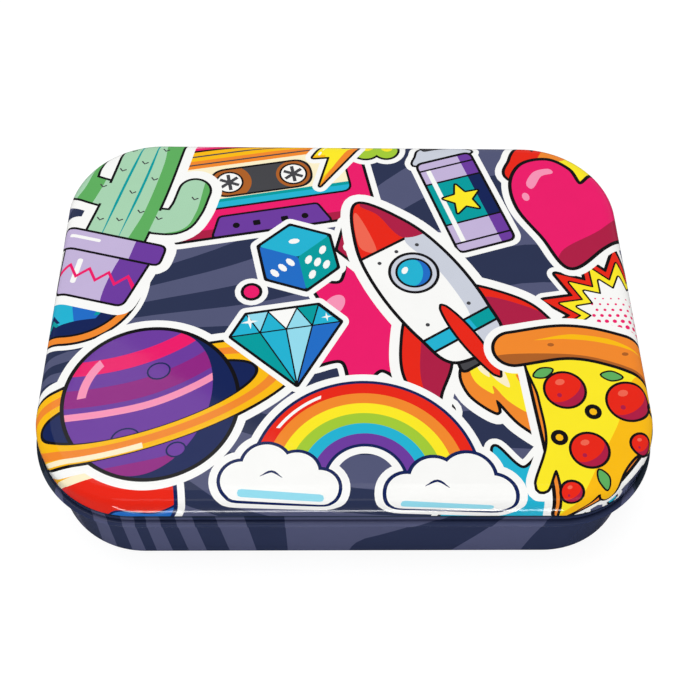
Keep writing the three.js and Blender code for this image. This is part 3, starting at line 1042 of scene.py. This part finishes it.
def one_for_rays(tree, rays):
    """One where the ray is of one of those kinds, and nought for the others."""
    path = tree.nodes.new("ShaderNodeLightPath")
    seen = path.outputs[rays[0]]
    for ray in rays[1:]:
        either = fed(tree, tree.nodes.new("ShaderNodeMath"), {0: seen, 1: path.outputs[ray]})
        either.operation = "MAXIMUM"
        seen = either.outputs[0]
    return seen


# Finishes
NOISE_RANGE = (0.25, 0.75)  # within which most of a noise's values lie
INK_SHINE = 0.08  # how much of the usual shine of a varnish shows
# Grain and clouds are the noises of the lines and of the tones. Dullness is the range of roughness.
METALS = {
    BARE: {
        "code": "dcdddf",
        "grain": (0.4, 4.0, (40.0, 1.0, 1.0)),
        "clouds": (6.0, 4.0),
        "tones": (0.93, 1.03),
        "dullness": (0.24, 0.4),
        "relief": (0.01, 0.15),
    },
    STEEL: {
        "code": "b9bbbf",
        "grain": (0.08, 3.0, (60.0, 1.0, 1.0)),
        "clouds": (1.5, 3.0),
        "tones": (0.9, 1.04),
        "dullness": (0.22, 0.42),
        "relief": (0.01, 0.2),
    },
}


class Finish:
    """A surface made of nodes, in the object's own coordinates."""

    def __init__(self, name):
        self.material = bpy.data.materials.new(name)
        self.material.use_nodes = True
        self.tree = self.material.node_tree
        self.shader = self.tree.nodes["Principled BSDF"]
        self.place = self.tree.nodes.new("ShaderNodeTexCoord").outputs["Object"]

    def node(self, kind, inputs):
        return fed(self.tree, self.tree.nodes.new(kind), inputs)

    def show(self, inputs):
        """Values and outputs of nodes put on the shader itself."""
        fed(self.tree, self.shader, inputs)

    def noise(self, size, detail, stretch=(1.0, 1.0, 1.0)):
        """Noise with features of about that size in millimetres, longer where stretch is over one."""
        scale = [1.0 / (size * MM * k) for k in stretch]
        place = self.node("ShaderNodeMapping", {"Scale": scale, "Vector": self.place}).outputs["Vector"]
        texture = self.node("ShaderNodeTexNoise", {"Scale": 1.0, "Detail": detail, "Vector": place})
        return texture.outputs["Fac"]

    def ranged(self, value, low, high):
        """The noise spread out between a low and a high value."""
        least, most = NOISE_RANGE
        limits = {"From Min": least, "From Max": most, "To Min": low, "To Max": high}
        step = self.node("ShaderNodeMapRange", {"Value": value, **limits})
        step.interpolation_type = "SMOOTHSTEP"
        return step.outputs["Result"]

    def toned(self, rgb, value):
        """The colour, lighter and darker by the value."""
        return self.node("ShaderNodeHueSaturation", {"Color": (*rgb, 1.0), "Value": value}).outputs["Color"]

    def relief(self, height, depth, strength):
        """Bumps of that depth in millimetres."""
        values = {"Distance": depth * MM, "Strength": strength, "Height": height}
        return self.node("ShaderNodeBump", values).outputs["Normal"]


def printed_ink(name):
    """Litho ink on tinplate under a clear varnish, with the faint ripple of the rolled sheet."""
    finish = Finish("print_" + name)
    tones = finish.ranged(finish.noise(5.0, 3.0), 0.985, 1.005)
    colour = finish.toned(getattr(bpy.context.scene.tinbox_inks, name), tones)
    dullness = finish.ranged(finish.noise(14.0, 2.0), 0.05, 0.08)
    ripple = finish.relief(finish.noise(0.35, 2.0), 0.006, 0.015)
    finish.show({"Base Color": colour, "Roughness": dullness, "Normal": ripple})
    finish.show({"Specular IOR Level": INK_SHINE})
    return finish.material


def bare_metal(name, code, grain, clouds, tones, dullness, relief):
    """Bright metal with the lines that the rolling mill or the drawing die left along it."""
    finish = Finish(name)
    lines = finish.noise(*grain)
    colour = finish.toned(linear(code), finish.ranged(finish.noise(*clouds), *tones))
    finish.show({"Base Color": colour, "Roughness": finish.ranged(lines, *dullness)})
    finish.show({"Normal": finish.relief(lines, *relief), "Metallic": 1.0})
    return finish.material


def material_of(name):
    """The finish of that name, made once."""
    label = name if name in METALS else "print_" + name
    if label in bpy.data.materials:
        return bpy.data.materials[label]
    return bare_metal(name, **METALS[name]) if name in METALS else printed_ink(name)


# Meshes
def mesh_of(name, spots, faces, slots, materials):
    """A mesh from points in millimetres, with each face's place in the list of materials."""
    mesh = bpy.data.meshes.new(name)
    mesh.from_pydata([tuple(p) for p in np.asarray(spots) * MM], [], faces)
    for material in materials:
        mesh.materials.append(material)
    mesh.polygons.foreach_set("material_index", slots)
    mesh.update()
    return mesh


def placed_in_scene(name, mesh):
    piece = bpy.data.objects.new(name, mesh)
    bpy.context.scene.collection.objects.link(piece)
    return piece


def shell_mesh(name, shell, zones, side):
    """The closed shell as a mesh, with a material for each ink, and the way that each point faces.
    Side is 1 where the section starts on top, and -1 where it starts underneath."""
    flat, faces, inks = triangulated(shell, zones)
    spots, facing = shell.folded(flat)
    if side < 0:
        faces = faces[:, ::-1]
    last = shell.ring(*shell.section[-1])
    inner, inner_facing = shell.inner_rings()
    count = len(last)
    start = len(spots)
    quads = []
    for k in range(len(shell.inner)):
        for a, b in closed_edges(start + k * count, count):
            quads.append([a, a + count, b + count, b][::side])
    cap = [start + len(shell.inner) * count + i for i in range(count)][::-side]
    names = sorted(set(inks) - {BARE})
    slot_of = {BARE: 0, **{n: i + 1 for i, n in enumerate(names)}}
    slots = [slot_of[n] for n in inks] + [0] * (len(quads) + 1)
    materials = [material_of(BARE)] + [material_of(n) for n in names]
    mesh = mesh_of(name, np.vstack([spots, last, inner]), faces.tolist() + quads + [cap], slots, materials)
    weld(mesh)
    return mesh, np.vstack([spots, inner]), np.vstack([facing, inner_facing]) * side


def weld(mesh):
    """The mesh's points that lie on one another made one."""
    work = bmesh.new()
    work.from_mesh(mesh)
    bmesh.ops.remove_doubles(work, verts=work.verts, dist=WELD * MM)
    work.to_mesh(mesh)
    work.free()


def boolean(mesh, tools, operation):
    """The mesh with closed tool meshes cut from it or joined to it."""
    piece = placed_in_scene("work", mesh)
    helpers = []
    for i, tool in enumerate(tools):
        helper = placed_in_scene(f"tool_{i}", tool)
        step = piece.modifiers.new(f"step_{i}", "BOOLEAN")
        step.operation = operation
        step.solver = "MANIFOLD"
        step.object = helper
        helpers.append(helper)
    bpy.context.view_layer.update()
    made = bpy.data.meshes.new_from_object(piece.evaluated_get(bpy.context.evaluated_depsgraph_get()))
    for o in [piece] + helpers:
        bpy.data.objects.remove(o)
    made.name = mesh.name
    return made


def block(low, high, materials):
    """A box between two corners."""
    xs, ys, zs = zip(low, high)
    spots = [(x, y, z) for z in zs for y in ys for x in xs]
    faces = [(0, 2, 3, 1), (4, 5, 7, 6), (0, 1, 5, 4), (2, 6, 7, 3), (0, 4, 6, 2), (1, 3, 7, 5)]
    return mesh_of("block", spots, faces, [0] * len(faces), materials)


def smooth_shaded(mesh):
    """Smooth shading with sharp folds."""
    mesh.polygons.foreach_set("use_smooth", [True] * len(mesh.polygons))
    mesh.set_sharp_from_angle(angle=FOLD_ANGLE)


def read(items, name, size, kind=float):
    """One value of each of a mesh's items, as an array."""
    values = np.zeros(size, kind)
    items.foreach_get(name, values)
    return values


def faced(mesh, spots, facing):
    """Smooth shading that faces as the sheet truly does, wherever a point still lies on it."""
    smooth_shaded(mesh)
    tree = KDTree(len(spots))
    for i, p in enumerate(spots):
        tree.insert(p * MM, i)
    tree.balance()
    known = np.zeros((len(mesh.vertices), 3))
    for v in mesh.vertices:
        _, i, gap = tree.find(v.co)
        if gap < WELD * MM:
            known[v.index] = facing[i]
    known /= np.maximum(np.linalg.norm(known, axis=1, keepdims=True), NO_DIVISOR)
    counts = read(mesh.polygons, "loop_total", len(mesh.polygons), int)
    flat = read(mesh.polygons, "normal", 3 * len(mesh.polygons)).reshape(-1, 3)
    flat = np.repeat(flat, counts, axis=0)
    wanted = known[read(mesh.loops, "vertex_index", len(mesh.loops), int)]
    on_sheet = (wanted * flat).sum(1) > math.cos(FOLD_ANGLE)
    mesh.normals_split_custom_set(np.where(on_sheet[:, None], wanted, 0.0).tolist())


# Stripes of the sides, in millimetres
LID_SPREAD = 0.975  # of the front stripes on the lid, so that the eye sees them run on down the tray
LID_SHIFT = -0.25  # to the right, of the same stripes
ROLL_PULL = 2.0  # how far the same stripes are drawn in on the roll at the front's corners, at most
LEAST_STRIPE = 0.5  # a stripe that is nowhere wider is left out
HIDDEN_START = 80.0  # where the stripes that the camera doesn't see start, on from the front's middle
HIDDEN_END = -84.0  # where they end, back from the front's middle
HIDDEN_WIDTH, WIDTH_SWING = 5.6, 2.3  # of those stripes, the middle one and how far it varies
HIDDEN_GAP, GAP_SWING = 5.4, 2.0  # the same of the gaps between them
LEAN_SWING = 1.1  # how far they lean to either side, at most
PAINTED_SHADE_SIDES = 5.0  # how far past the lid's sides, on the unrolled sheet, the stripes darkened as painted shade start
PRINT_LAP = 1.5  # how far stripes run on past the ends of what they cover
FENCE_LAP = 2.0  # how far past the print's end the stripes are cut off
STICKER_LAP = 0.3  # how far past the print's end the stickers are cut off
WALL_STEPS = 9  # places down the tray's wall at which its stripes are laid
# Places of the print on the lid's roll, in degrees as for its end
ROLL_TOP = 450  # its highest line
ROLL_LOW = 330  # the lowest line that shows from the front
ROLL_PRINT_END = 220  # where the print ends, underneath
# Each stripe's left and right edges, as distances round the wall from the front's middle.
# An edge's distances are evenly spaced from the stickers' end down.
FRONT_STRIPES = (
    ((-77.6, -74.0), (-70.0, -65.2)),
    ((-60.0, -60.1), (-56.6, -56.1)),
    ((-53.0, -52.2), (-50.0, -48.9)),
    ((-47.3, -46.2), (-44.1, -42.3)),
    ((-40.4, -38.4), (-36.3, -34.0)),
    ((-30.9, -28.4), (-24.1, -21.8)),
    ((-14.6, -14.1), (25.0, 21.2, 17.6, 13.6, 8.9, 3.6, 1.8, 1.0)),
    ((38.0, 36.5, 35.1, 33.6, 31.9, 30.1, 28.2, 26.4), (48.9, 47.9, 47.0, 46.2, 45.4, 44.7, 44.1, 43.5)),
    ((68.5, 65.0), (73.5, 71.0)),
)


def stripe_edges(round_all, spread, shift):
    """The stripes seen in front, then others of like widths on round the sides and the back.
    Their widths, leans and gaps each vary at a pace of their own, in radians a stripe."""
    edges = [[[shift + spread * place for place in line] for line in lines] for lines in FRONT_STRIPES]
    place = HIDDEN_START
    while place < round_all + HIDDEN_END:
        wide = HIDDEN_WIDTH + WIDTH_SWING * math.sin(2.4 * len(edges))
        lean = LEAN_SWING * math.sin(1.3 * len(edges))
        edges.append(((place, place + lean), (place + wide, place + wide + lean)))
        place += wide + HIDDEN_GAP + GAP_SWING * math.sin(1.7 * len(edges))
    return edges


def corner_pull(shell, reference, s):
    """How far the stripes are drawn in where the roll stands out to the side, at the front's corners."""
    round_all = shell.length_round(reference)
    s = (s + round_all / 2) % round_all - round_all / 2
    turn = np.clip((np.abs(s) - shell.core[0]) / reference, 0.0, math.pi / 2)
    return -np.sign(s) * ROLL_PULL * np.sin(2 * turn)


def stripe_marks(shell, reference, spots, spread=1.0, shift=0.0):
    """Slate stripes on navy. A spot is its share of the way down, its run and its share of the pull."""
    shares, runs, pulls = (np.array(v) for v in zip(*spots))
    marks = [mark("navy", box(-BEYOND, -BEYOND, BEYOND, BEYOND))]
    for edges in stripe_edges(shell.length_round(reference), spread, shift):
        lines = []
        for edge in edges:
            line = np.interp(shares, np.linspace(0, 1, len(edge)), edge)
            lines.append(line + pulls * corner_pull(shell, reference, line))
        if (lines[1] - lines[0]).max() >= LEAST_STRIPE:
            marks.append(mark("slate", band(*(shell.along(s, runs, reference) for s in lines))))
    return marks


# Pieces
CUT_LAP = 1.0  # how far a cut reaches past the sheet
WIRE_SIDES = 32
WIRE_RINGS = 9
WIRE_BREAK = 0.08  # taken off the edges of a wire's ends


def sizes():
    """Every size in millimetres, from the properties and from the CAD part."""
    sheet = bpy.context.scene.tinbox_sheet
    values = {name: getattr(sheet, name) for name in type(sheet).__annotations__}
    s = SimpleNamespace(**{name: v if isinstance(v, int) else v / MM for name, v in values.items()})
    lid_low, lid_high = (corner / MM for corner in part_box("lid"))
    tray_low, tray_high = (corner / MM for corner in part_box("tray"))
    wire_low, wire_high = (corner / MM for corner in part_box("hinge_wire_right"))
    s.bore = s.lid_rim - s.plate
    s.lid_edge = lid_low.z
    s.lid_height = lid_high.z - lid_low.z
    s.print_end = s.lid_edge + s.art_edge
    # Where the band of painted shade under the stickers ends
    s.dim_end = s.print_end - s.painted_shade_band
    s.lid_half = lid_high.xy - Vector((1, 1)) * (s.bore + s.lid_rim)
    s.lid_half.y = -lid_low.y - s.bore - s.lid_rim
    s.dim_sides = s.lid_half.x + PAINTED_SHADE_SIDES
    s.tray_half = Vector((tray_high.x, -tray_low.y))
    s.tray_height = tray_high.z
    s.hinge = (wire_low + wire_high) / 2
    s.wire_length = wire_high.x - wire_low.x
    s.wire_radius = s.bore - s.running_gap
    return s


def wall_runs(shell, heights):
    """The runs at which the sheet's wall has those heights."""
    wall = np.flatnonzero(np.isclose(shell.section[:, 0], 0.0))
    order = wall[np.argsort(shell.section[wall, 1])]
    return np.interp(heights, shell.section[order, 1], shell.run[order])


def lid_piece(s):
    """The lid's pressing: stickers on top, a band of stripes darkened as painted shade, stripes darkened
    the same way past the lid's sides, and notches behind.
    """
    shell = Pressing(*s.lid_half, s.lid_corner, *lid_sections(s), s.corner_steps)
    edge, dim_end, skirt_end = wall_runs(shell, [s.print_end, s.dim_end, s.lid_edge + s.lid_rim])
    roll_start = shell.run[-1 - s.rim_steps]
    roll_top = roll_start + s.lid_rim * math.radians(LID_RIM_END - ROLL_TOP)
    roll_low = shell.run[-1] - s.lid_rim * math.radians(ROLL_LOW - 180)
    roll_end = shell.run[-1] - s.lid_rim * math.radians(ROLL_PRINT_END - 180)
    drop = s.print_end - s.base_bend
    share = (s.print_end - s.lid_edge - s.lid_rim) / drop
    low_share = (s.print_end - s.lid_edge + s.hidden) / drop
    top_share = share + (low_share - share) * (roll_top - roll_start) / (roll_low - roll_start)
    places = [(0.0, edge - PRINT_LAP, 0), (0.0, edge, 0), (share, skirt_end, 0), (share, roll_start, 0)]
    places += [(top_share, roll_top, 0.5), (low_share, roll_low, 1), (low_share, roll_end + PRINT_LAP, 1)]
    stripes = stripe_marks(shell, s.tray_corner, places, LID_SPREAD, LID_SHIFT)
    # The stripes again in darkened inks, as painted shade under the stickers' edge
    dim = [Mark("deep_" + m.ink, m.outline, None) for m in stripes]
    # Past the lid's sides the stripes take the darkened inks too: painted shade round the corners
    sides = [box(-BEYOND, -BEYOND, -s.dim_sides, BEYOND), box(s.dim_sides, -BEYOND, BEYOND, BEYOND)]
    stripes += [Mark(m.ink, m.outline, side) for side in sides for m in dim]
    fence = shell.flat_ring(roll_end + FENCE_LAP)
    zones = [
        (sticker_marks(), shell.flat_ring(edge + STICKER_LAP), [(-math.inf, edge)]),
        (dim, fence, [(edge, dim_end)]),
        (stripes, fence, [(dim_end, skirt_end), (roll_start, roll_end)]),
    ]
    mesh, spots, facing = shell_mesh("lid_pressing", shell, zones, 1)
    top = s.hinge.z + s.lid_rim + s.notch_gap
    reach = s.tongue / 2 + s.notch_side
    notches = []
    for x in (-s.hinge.x, s.hinge.x):
        low = (x - reach, s.tray_half.y, s.lid_edge - CUT_LAP)
        high = (x + reach, s.hinge.y + s.lid_rim + CUT_LAP, top)
        notches.append(block(low, high, mesh.materials))
    mesh = boolean(mesh, notches, "DIFFERENCE")
    faced(mesh, spots, facing)
    return placed_in_scene("lid_pressing", mesh)


def tongue_mesh(x, s, materials, ink_slot):
    """A tongue of the rear wall, curled round the hinge wire: printed outside and bare inside."""
    root = s.tray_half.y - s.plate / 2
    outer = bend(s.hinge.y, s.hinge.z, s.lid_rim, -90, TONGUE_END, s.rim_steps)
    inner = bend(s.hinge.y, s.hinge.z, s.bore, TONGUE_END, -90, s.rim_steps)
    low = s.hinge.z - s.lid_rim
    outline = np.vstack([[(root, low)], outer, inner, [(root, low + s.plate)]])
    count = len(outline)
    spots = [(x + side * s.tongue / 2, y, z) for side in (-1, 1) for y, z in outline]
    faces = [tuple(range(count))[::-1], tuple(range(count, 2 * count))]
    slots = [0, 0]
    for i, j in closed_edges(0, count):
        faces.append((i, j, count + j, count + i))
        slots.append(ink_slot if i <= len(outer) else 0)
    return mesh_of("tongue", spots, faces, slots, materials)


def tray_piece(s):
    """The tray's pressing: stripes under a bare mouth, windows in the rear wall, and the two tongues."""
    shell = Pressing(*s.tray_half, s.tray_corner, *tray_sections(s), s.corner_steps)
    foot, mouth = wall_runs(shell, [s.base_bend, s.tray_height - s.mouth_rim - s.mouth_bare])
    foot -= s.base_bend * math.pi / 2
    heights = np.linspace(s.lid_edge, s.base_bend, WALL_STEPS)
    shares = (s.print_end - heights) / (s.print_end - s.base_bend)
    places = [(shares[0], mouth + PRINT_LAP, 0)]
    places += [(share, run, 0) for share, run in zip(shares, wall_runs(shell, heights))]
    places += [(1.0, foot - PRINT_LAP, 0)]
    stripes = stripe_marks(shell, s.tray_corner, places)
    zones = [(stripes, shell.flat_ring(mouth + FENCE_LAP), [(foot, mouth)])]
    mesh, spots, facing = shell_mesh("tray_pressing", shell, zones, -1)
    windows, tongues = [], []
    window_low = s.hinge.z - s.bore
    sheet_taken = s.hinge.y - s.tray_half.y + math.radians(TONGUE_END + 90) * (s.lid_rim - s.plate / 2)
    navy = mesh.materials.find("print_navy")
    for x in (-s.hinge.x, s.hinge.x):
        low = (x - s.tongue / 2, s.tray_half.y - s.plate - CUT_LAP, window_low)
        high = (x + s.tongue / 2, s.tray_half.y + CUT_LAP, window_low + sheet_taken)
        windows.append(block(low, high, mesh.materials))
        tongues.append(tongue_mesh(x, s, mesh.materials, navy))
    mesh = boolean(boolean(mesh, windows, "DIFFERENCE"), tongues, "UNION")
    faced(mesh, spots, facing)
    return placed_in_scene("tray_pressing", mesh)


def wire_piece(name, middle, s):
    """A straight length of steel wire with its cut ends broken."""
    reach = s.wire_length / 2
    rings = [(-reach, s.wire_radius - WIRE_BREAK), (WIRE_BREAK - reach, s.wire_radius)]
    rings += [(x, s.wire_radius) for x in np.linspace(-reach, reach, WIRE_RINGS)[1:-1]]
    rings += [(reach - WIRE_BREAK, s.wire_radius), (reach, s.wire_radius - WIRE_BREAK)]
    turns = np.radians(np.arange(WIRE_SIDES) * 360.0 / WIRE_SIDES)
    spots = []
    for x, r in rings:
        spots += [(middle.x + x, middle.y + r * math.cos(t), middle.z + r * math.sin(t)) for t in turns]
    faces = [tuple(range(WIRE_SIDES))[::-1], tuple(range(len(spots) - WIRE_SIDES, len(spots)))]
    for k in range(len(rings) - 1):
        for a, b in closed_edges(k * WIRE_SIDES, WIRE_SIDES):
            faces.append((a, b, b + WIRE_SIDES, a + WIRE_SIDES))
    mesh = mesh_of(name, spots, faces, [0] * len(faces), [material_of(STEEL)])
    smooth_shaded(mesh)
    return placed_in_scene(name, mesh)


# Stage
PAPER_WHITE = 0.95  # of the floor, as it lights the box
MIRRORED_WHITE = 0.12  # of the floor, as the varnish mirrors it
UPWARDS = Vector((0, 0, 1))
BOX_MIDDLE = (0.0, 0.0, 0.02)
# Each lamp's width, height, place and target, in metres
LAMPS = {
    "overhead": (1.2, 1.0, (-0.25, 0.15, 1.5), BOX_MIDDLE),
    "front": (1.4, 0.3, (0.1, -1.3, 0.17), BOX_MIDDLE),
    "strip": (0.118, 0.0003, (-0.003, -0.066, 0.003), (-0.00294, -0.0544, 0.0276)),
}


def lamp(name, power, width, height, spot, target):
    """An oblong lamp that faces its target."""
    light = bpy.data.lights.new(name, "AREA")
    light.shape = "RECTANGLE"
    light.size = width
    light.size_y = height
    light.energy = power
    piece = placed_in_scene(name, light)
    piece.location = spot
    piece.rotation_euler = (Vector(target) - Vector(spot)).to_track_quat("-Z", "Y").to_euler()
    return piece


def floor_finish(glow, white):
    """White paper that glows a little to the eye, and still takes the object's shadow."""
    finish = Finish("studio_floor")
    mirrored = one_for_rays(finish.tree, ("Is Glossy Ray",))
    whites = {"Value": mirrored, "To Min": PAPER_WHITE, "To Max": MIRRORED_WHITE}
    finish.show({"Base Color": finish.node("ShaderNodeMapRange", whites).outputs["Result"]})
    finish.show({"Roughness": 1.0, "Specular IOR Level": 0.0})
    paper = finish.node("ShaderNodeBsdfDiffuse", {"Color": (white, white, white, 1.0)})
    light = finish.node("ShaderNodeEmission", {"Strength": glow})
    both = finish.node("ShaderNodeAddShader", {0: paper.outputs[0], 1: light.outputs[0]})
    looked_at = one_for_rays(finish.tree, LOOKED_AT)
    chosen = {0: looked_at, 1: finish.shader.outputs[0], 2: both.outputs[0]}
    surface = finish.node("ShaderNodeMixShader", chosen).outputs[0]
    fed(finish.tree, finish.tree.nodes["Material Output"], {"Surface": surface})
    return finish.material


def studio_world(level):
    """Plain light from all round, white where it is looked at."""
    world = bpy.data.worlds.new("studio")
    world.use_nodes = True
    tree = world.node_tree
    levels = {"Value": one_for_rays(tree, LOOKED_AT), "To Min": level, "To Max": 1.0}
    strength = fed(tree, tree.nodes.new("ShaderNodeMapRange"), levels).outputs["Result"]
    fed(tree, tree.nodes["Background"], {"Color": (1.0, 1.0, 1.0, 1.0), "Strength": strength})
    return world


def studio_camera(view, base):
    """The camera, placed from the middle of its view at the height of the base."""
    camera = bpy.data.cameras.new("camera")
    camera.lens = view.lens
    camera.sensor_width = 36.0
    camera.clip_start = 0.01
    camera.clip_end = 20.0
    right = Vector((math.cos(view.turn), -math.sin(view.turn), 0.0))
    level = Vector((math.sin(view.turn), math.cos(view.turn), 0.0))
    up = level * math.sin(view.elevation) + UPWARDS * math.cos(view.elevation)
    ahead = level * math.cos(view.elevation) - UPWARDS * math.sin(view.elevation)
    spot = Vector((0, 0, base)) + right * view.aside + up * view.above - ahead * view.distance
    side = right * math.cos(view.roll) - up * math.sin(view.roll)
    top = right * math.sin(view.roll) + up * math.cos(view.roll)
    piece = placed_in_scene("camera", camera)
    rotation = Matrix((side, top, -ahead)).transposed()
    piece.matrix_world = Matrix.Translation(spot) @ rotation.to_4x4()
    bpy.context.scene.camera = piece


# Operators
class TINBOX_OT_lid(bpy.types.Operator):
    """Press the printed lid, with its rolled rim and the notches for the hinge tongues"""

    bl_idname = "tinbox.lid"
    bl_label = "Lid"

    def execute(self, context):
        piece = lid_piece(sizes())
        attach(piece, "lid")
        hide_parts("lid")
        return {"FINISHED"}


class TINBOX_OT_tray(bpy.types.Operator):
    """Press the printed tray, with its curled mouth and the tongues of the hinge"""

    bl_idname = "tinbox.tray"
    bl_label = "Tray"

    def execute(self, context):
        piece = tray_piece(sizes())
        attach(piece, "tray")
        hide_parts("tray")
        return {"FINISHED"}


class TINBOX_OT_wires(bpy.types.Operator):
    """Lay a steel wire through each hinge tongue"""

    bl_idname = "tinbox.wires"
    bl_label = "Hinge wires"

    def execute(self, context):
        s = sizes()
        for side, x in (("left", -s.hinge.x), ("right", s.hinge.x)):
            piece = wire_piece(f"steel_wire_{side}", Vector((x, s.hinge.y, s.hinge.z)), s)
            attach(piece, "lid")
            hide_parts(f"hinge_wire_{side}")
        return {"FINISHED"}


class TINBOX_OT_stage(bpy.types.Operator):
    """Set a white floor, soft lamps and the camera round the box"""

    bl_idname = "tinbox.stage"
    bl_label = "Stage"

    def execute(self, context):
        view = context.scene.tinbox_stage
        reach = view.floor / MM
        corners = [(x, y, 0) for x, y in box(-reach, -reach, reach, reach)]
        finish = floor_finish(view.glow, view.paper)
        floor = placed_in_scene("floor", mesh_of("floor", corners, [(0, 1, 2, 3)], [0], [finish]))
        context.scene.world = studio_world(view.world)
        lamps = {name: lamp(name, getattr(view, name), *values) for name, values in LAMPS.items()}
        lit = bpy.data.collections.new("lit_by_strip")
        lit.objects.link(bpy.data.objects["lid_pressing"])
        lamps["strip"].light_linking.receiver_collection = lit
        lamps["strip"].visible_diffuse = False
        lamps["strip"].visible_camera = False
        studio_camera(view, sizes().lid_edge * MM)
        context.scene.view_settings.view_transform = "Standard"
        return {"FINISHED"}


OPERATORS = (TINBOX_OT_lid, TINBOX_OT_tray, TINBOX_OT_wires, TINBOX_OT_stage)
GROUPS = {"tinbox_sheet": TINBOX_PG_sheet, "tinbox_inks": TINBOX_PG_inks, "tinbox_stage": TINBOX_PG_stage}


class TINBOX_PT_panel(bpy.types.Panel):
    bl_idname = "TINBOX_PT_panel"
    bl_label = "Tin box"
    bl_space_type = "VIEW_3D"
    bl_region_type = "UI"
    bl_category = "Tin box"

    def draw(self, context):
        for operator in OPERATORS:
            self.layout.operator(operator.bl_idname)
        for name, group in GROUPS.items():
            shown = self.layout.box()
            for value in group.__annotations__:
                shown.prop(getattr(context.scene, name), value)


def register():
    for group in GROUPS.values():
        bpy.utils.register_class(group)
    for name, group in GROUPS.items():
        setattr(bpy.types.Scene, name, PointerProperty(type=group))
    for operator in OPERATORS:
        bpy.utils.register_class(operator)
    bpy.utils.register_class(TINBOX_PT_panel)


def unregister():
    bpy.utils.unregister_class(TINBOX_PT_panel)
    for operator in reversed(OPERATORS):
        bpy.utils.unregister_class(operator)
    for name, group in GROUPS.items():
        delattr(bpy.types.Scene, name)
        bpy.utils.unregister_class(group)


def main():
    register()
    bpy.ops.tinbox.lid()
    bpy.ops.tinbox.tray()
    bpy.ops.tinbox.wires()
    bpy.ops.tinbox.stage()


if __name__ == "__main__":
    main()
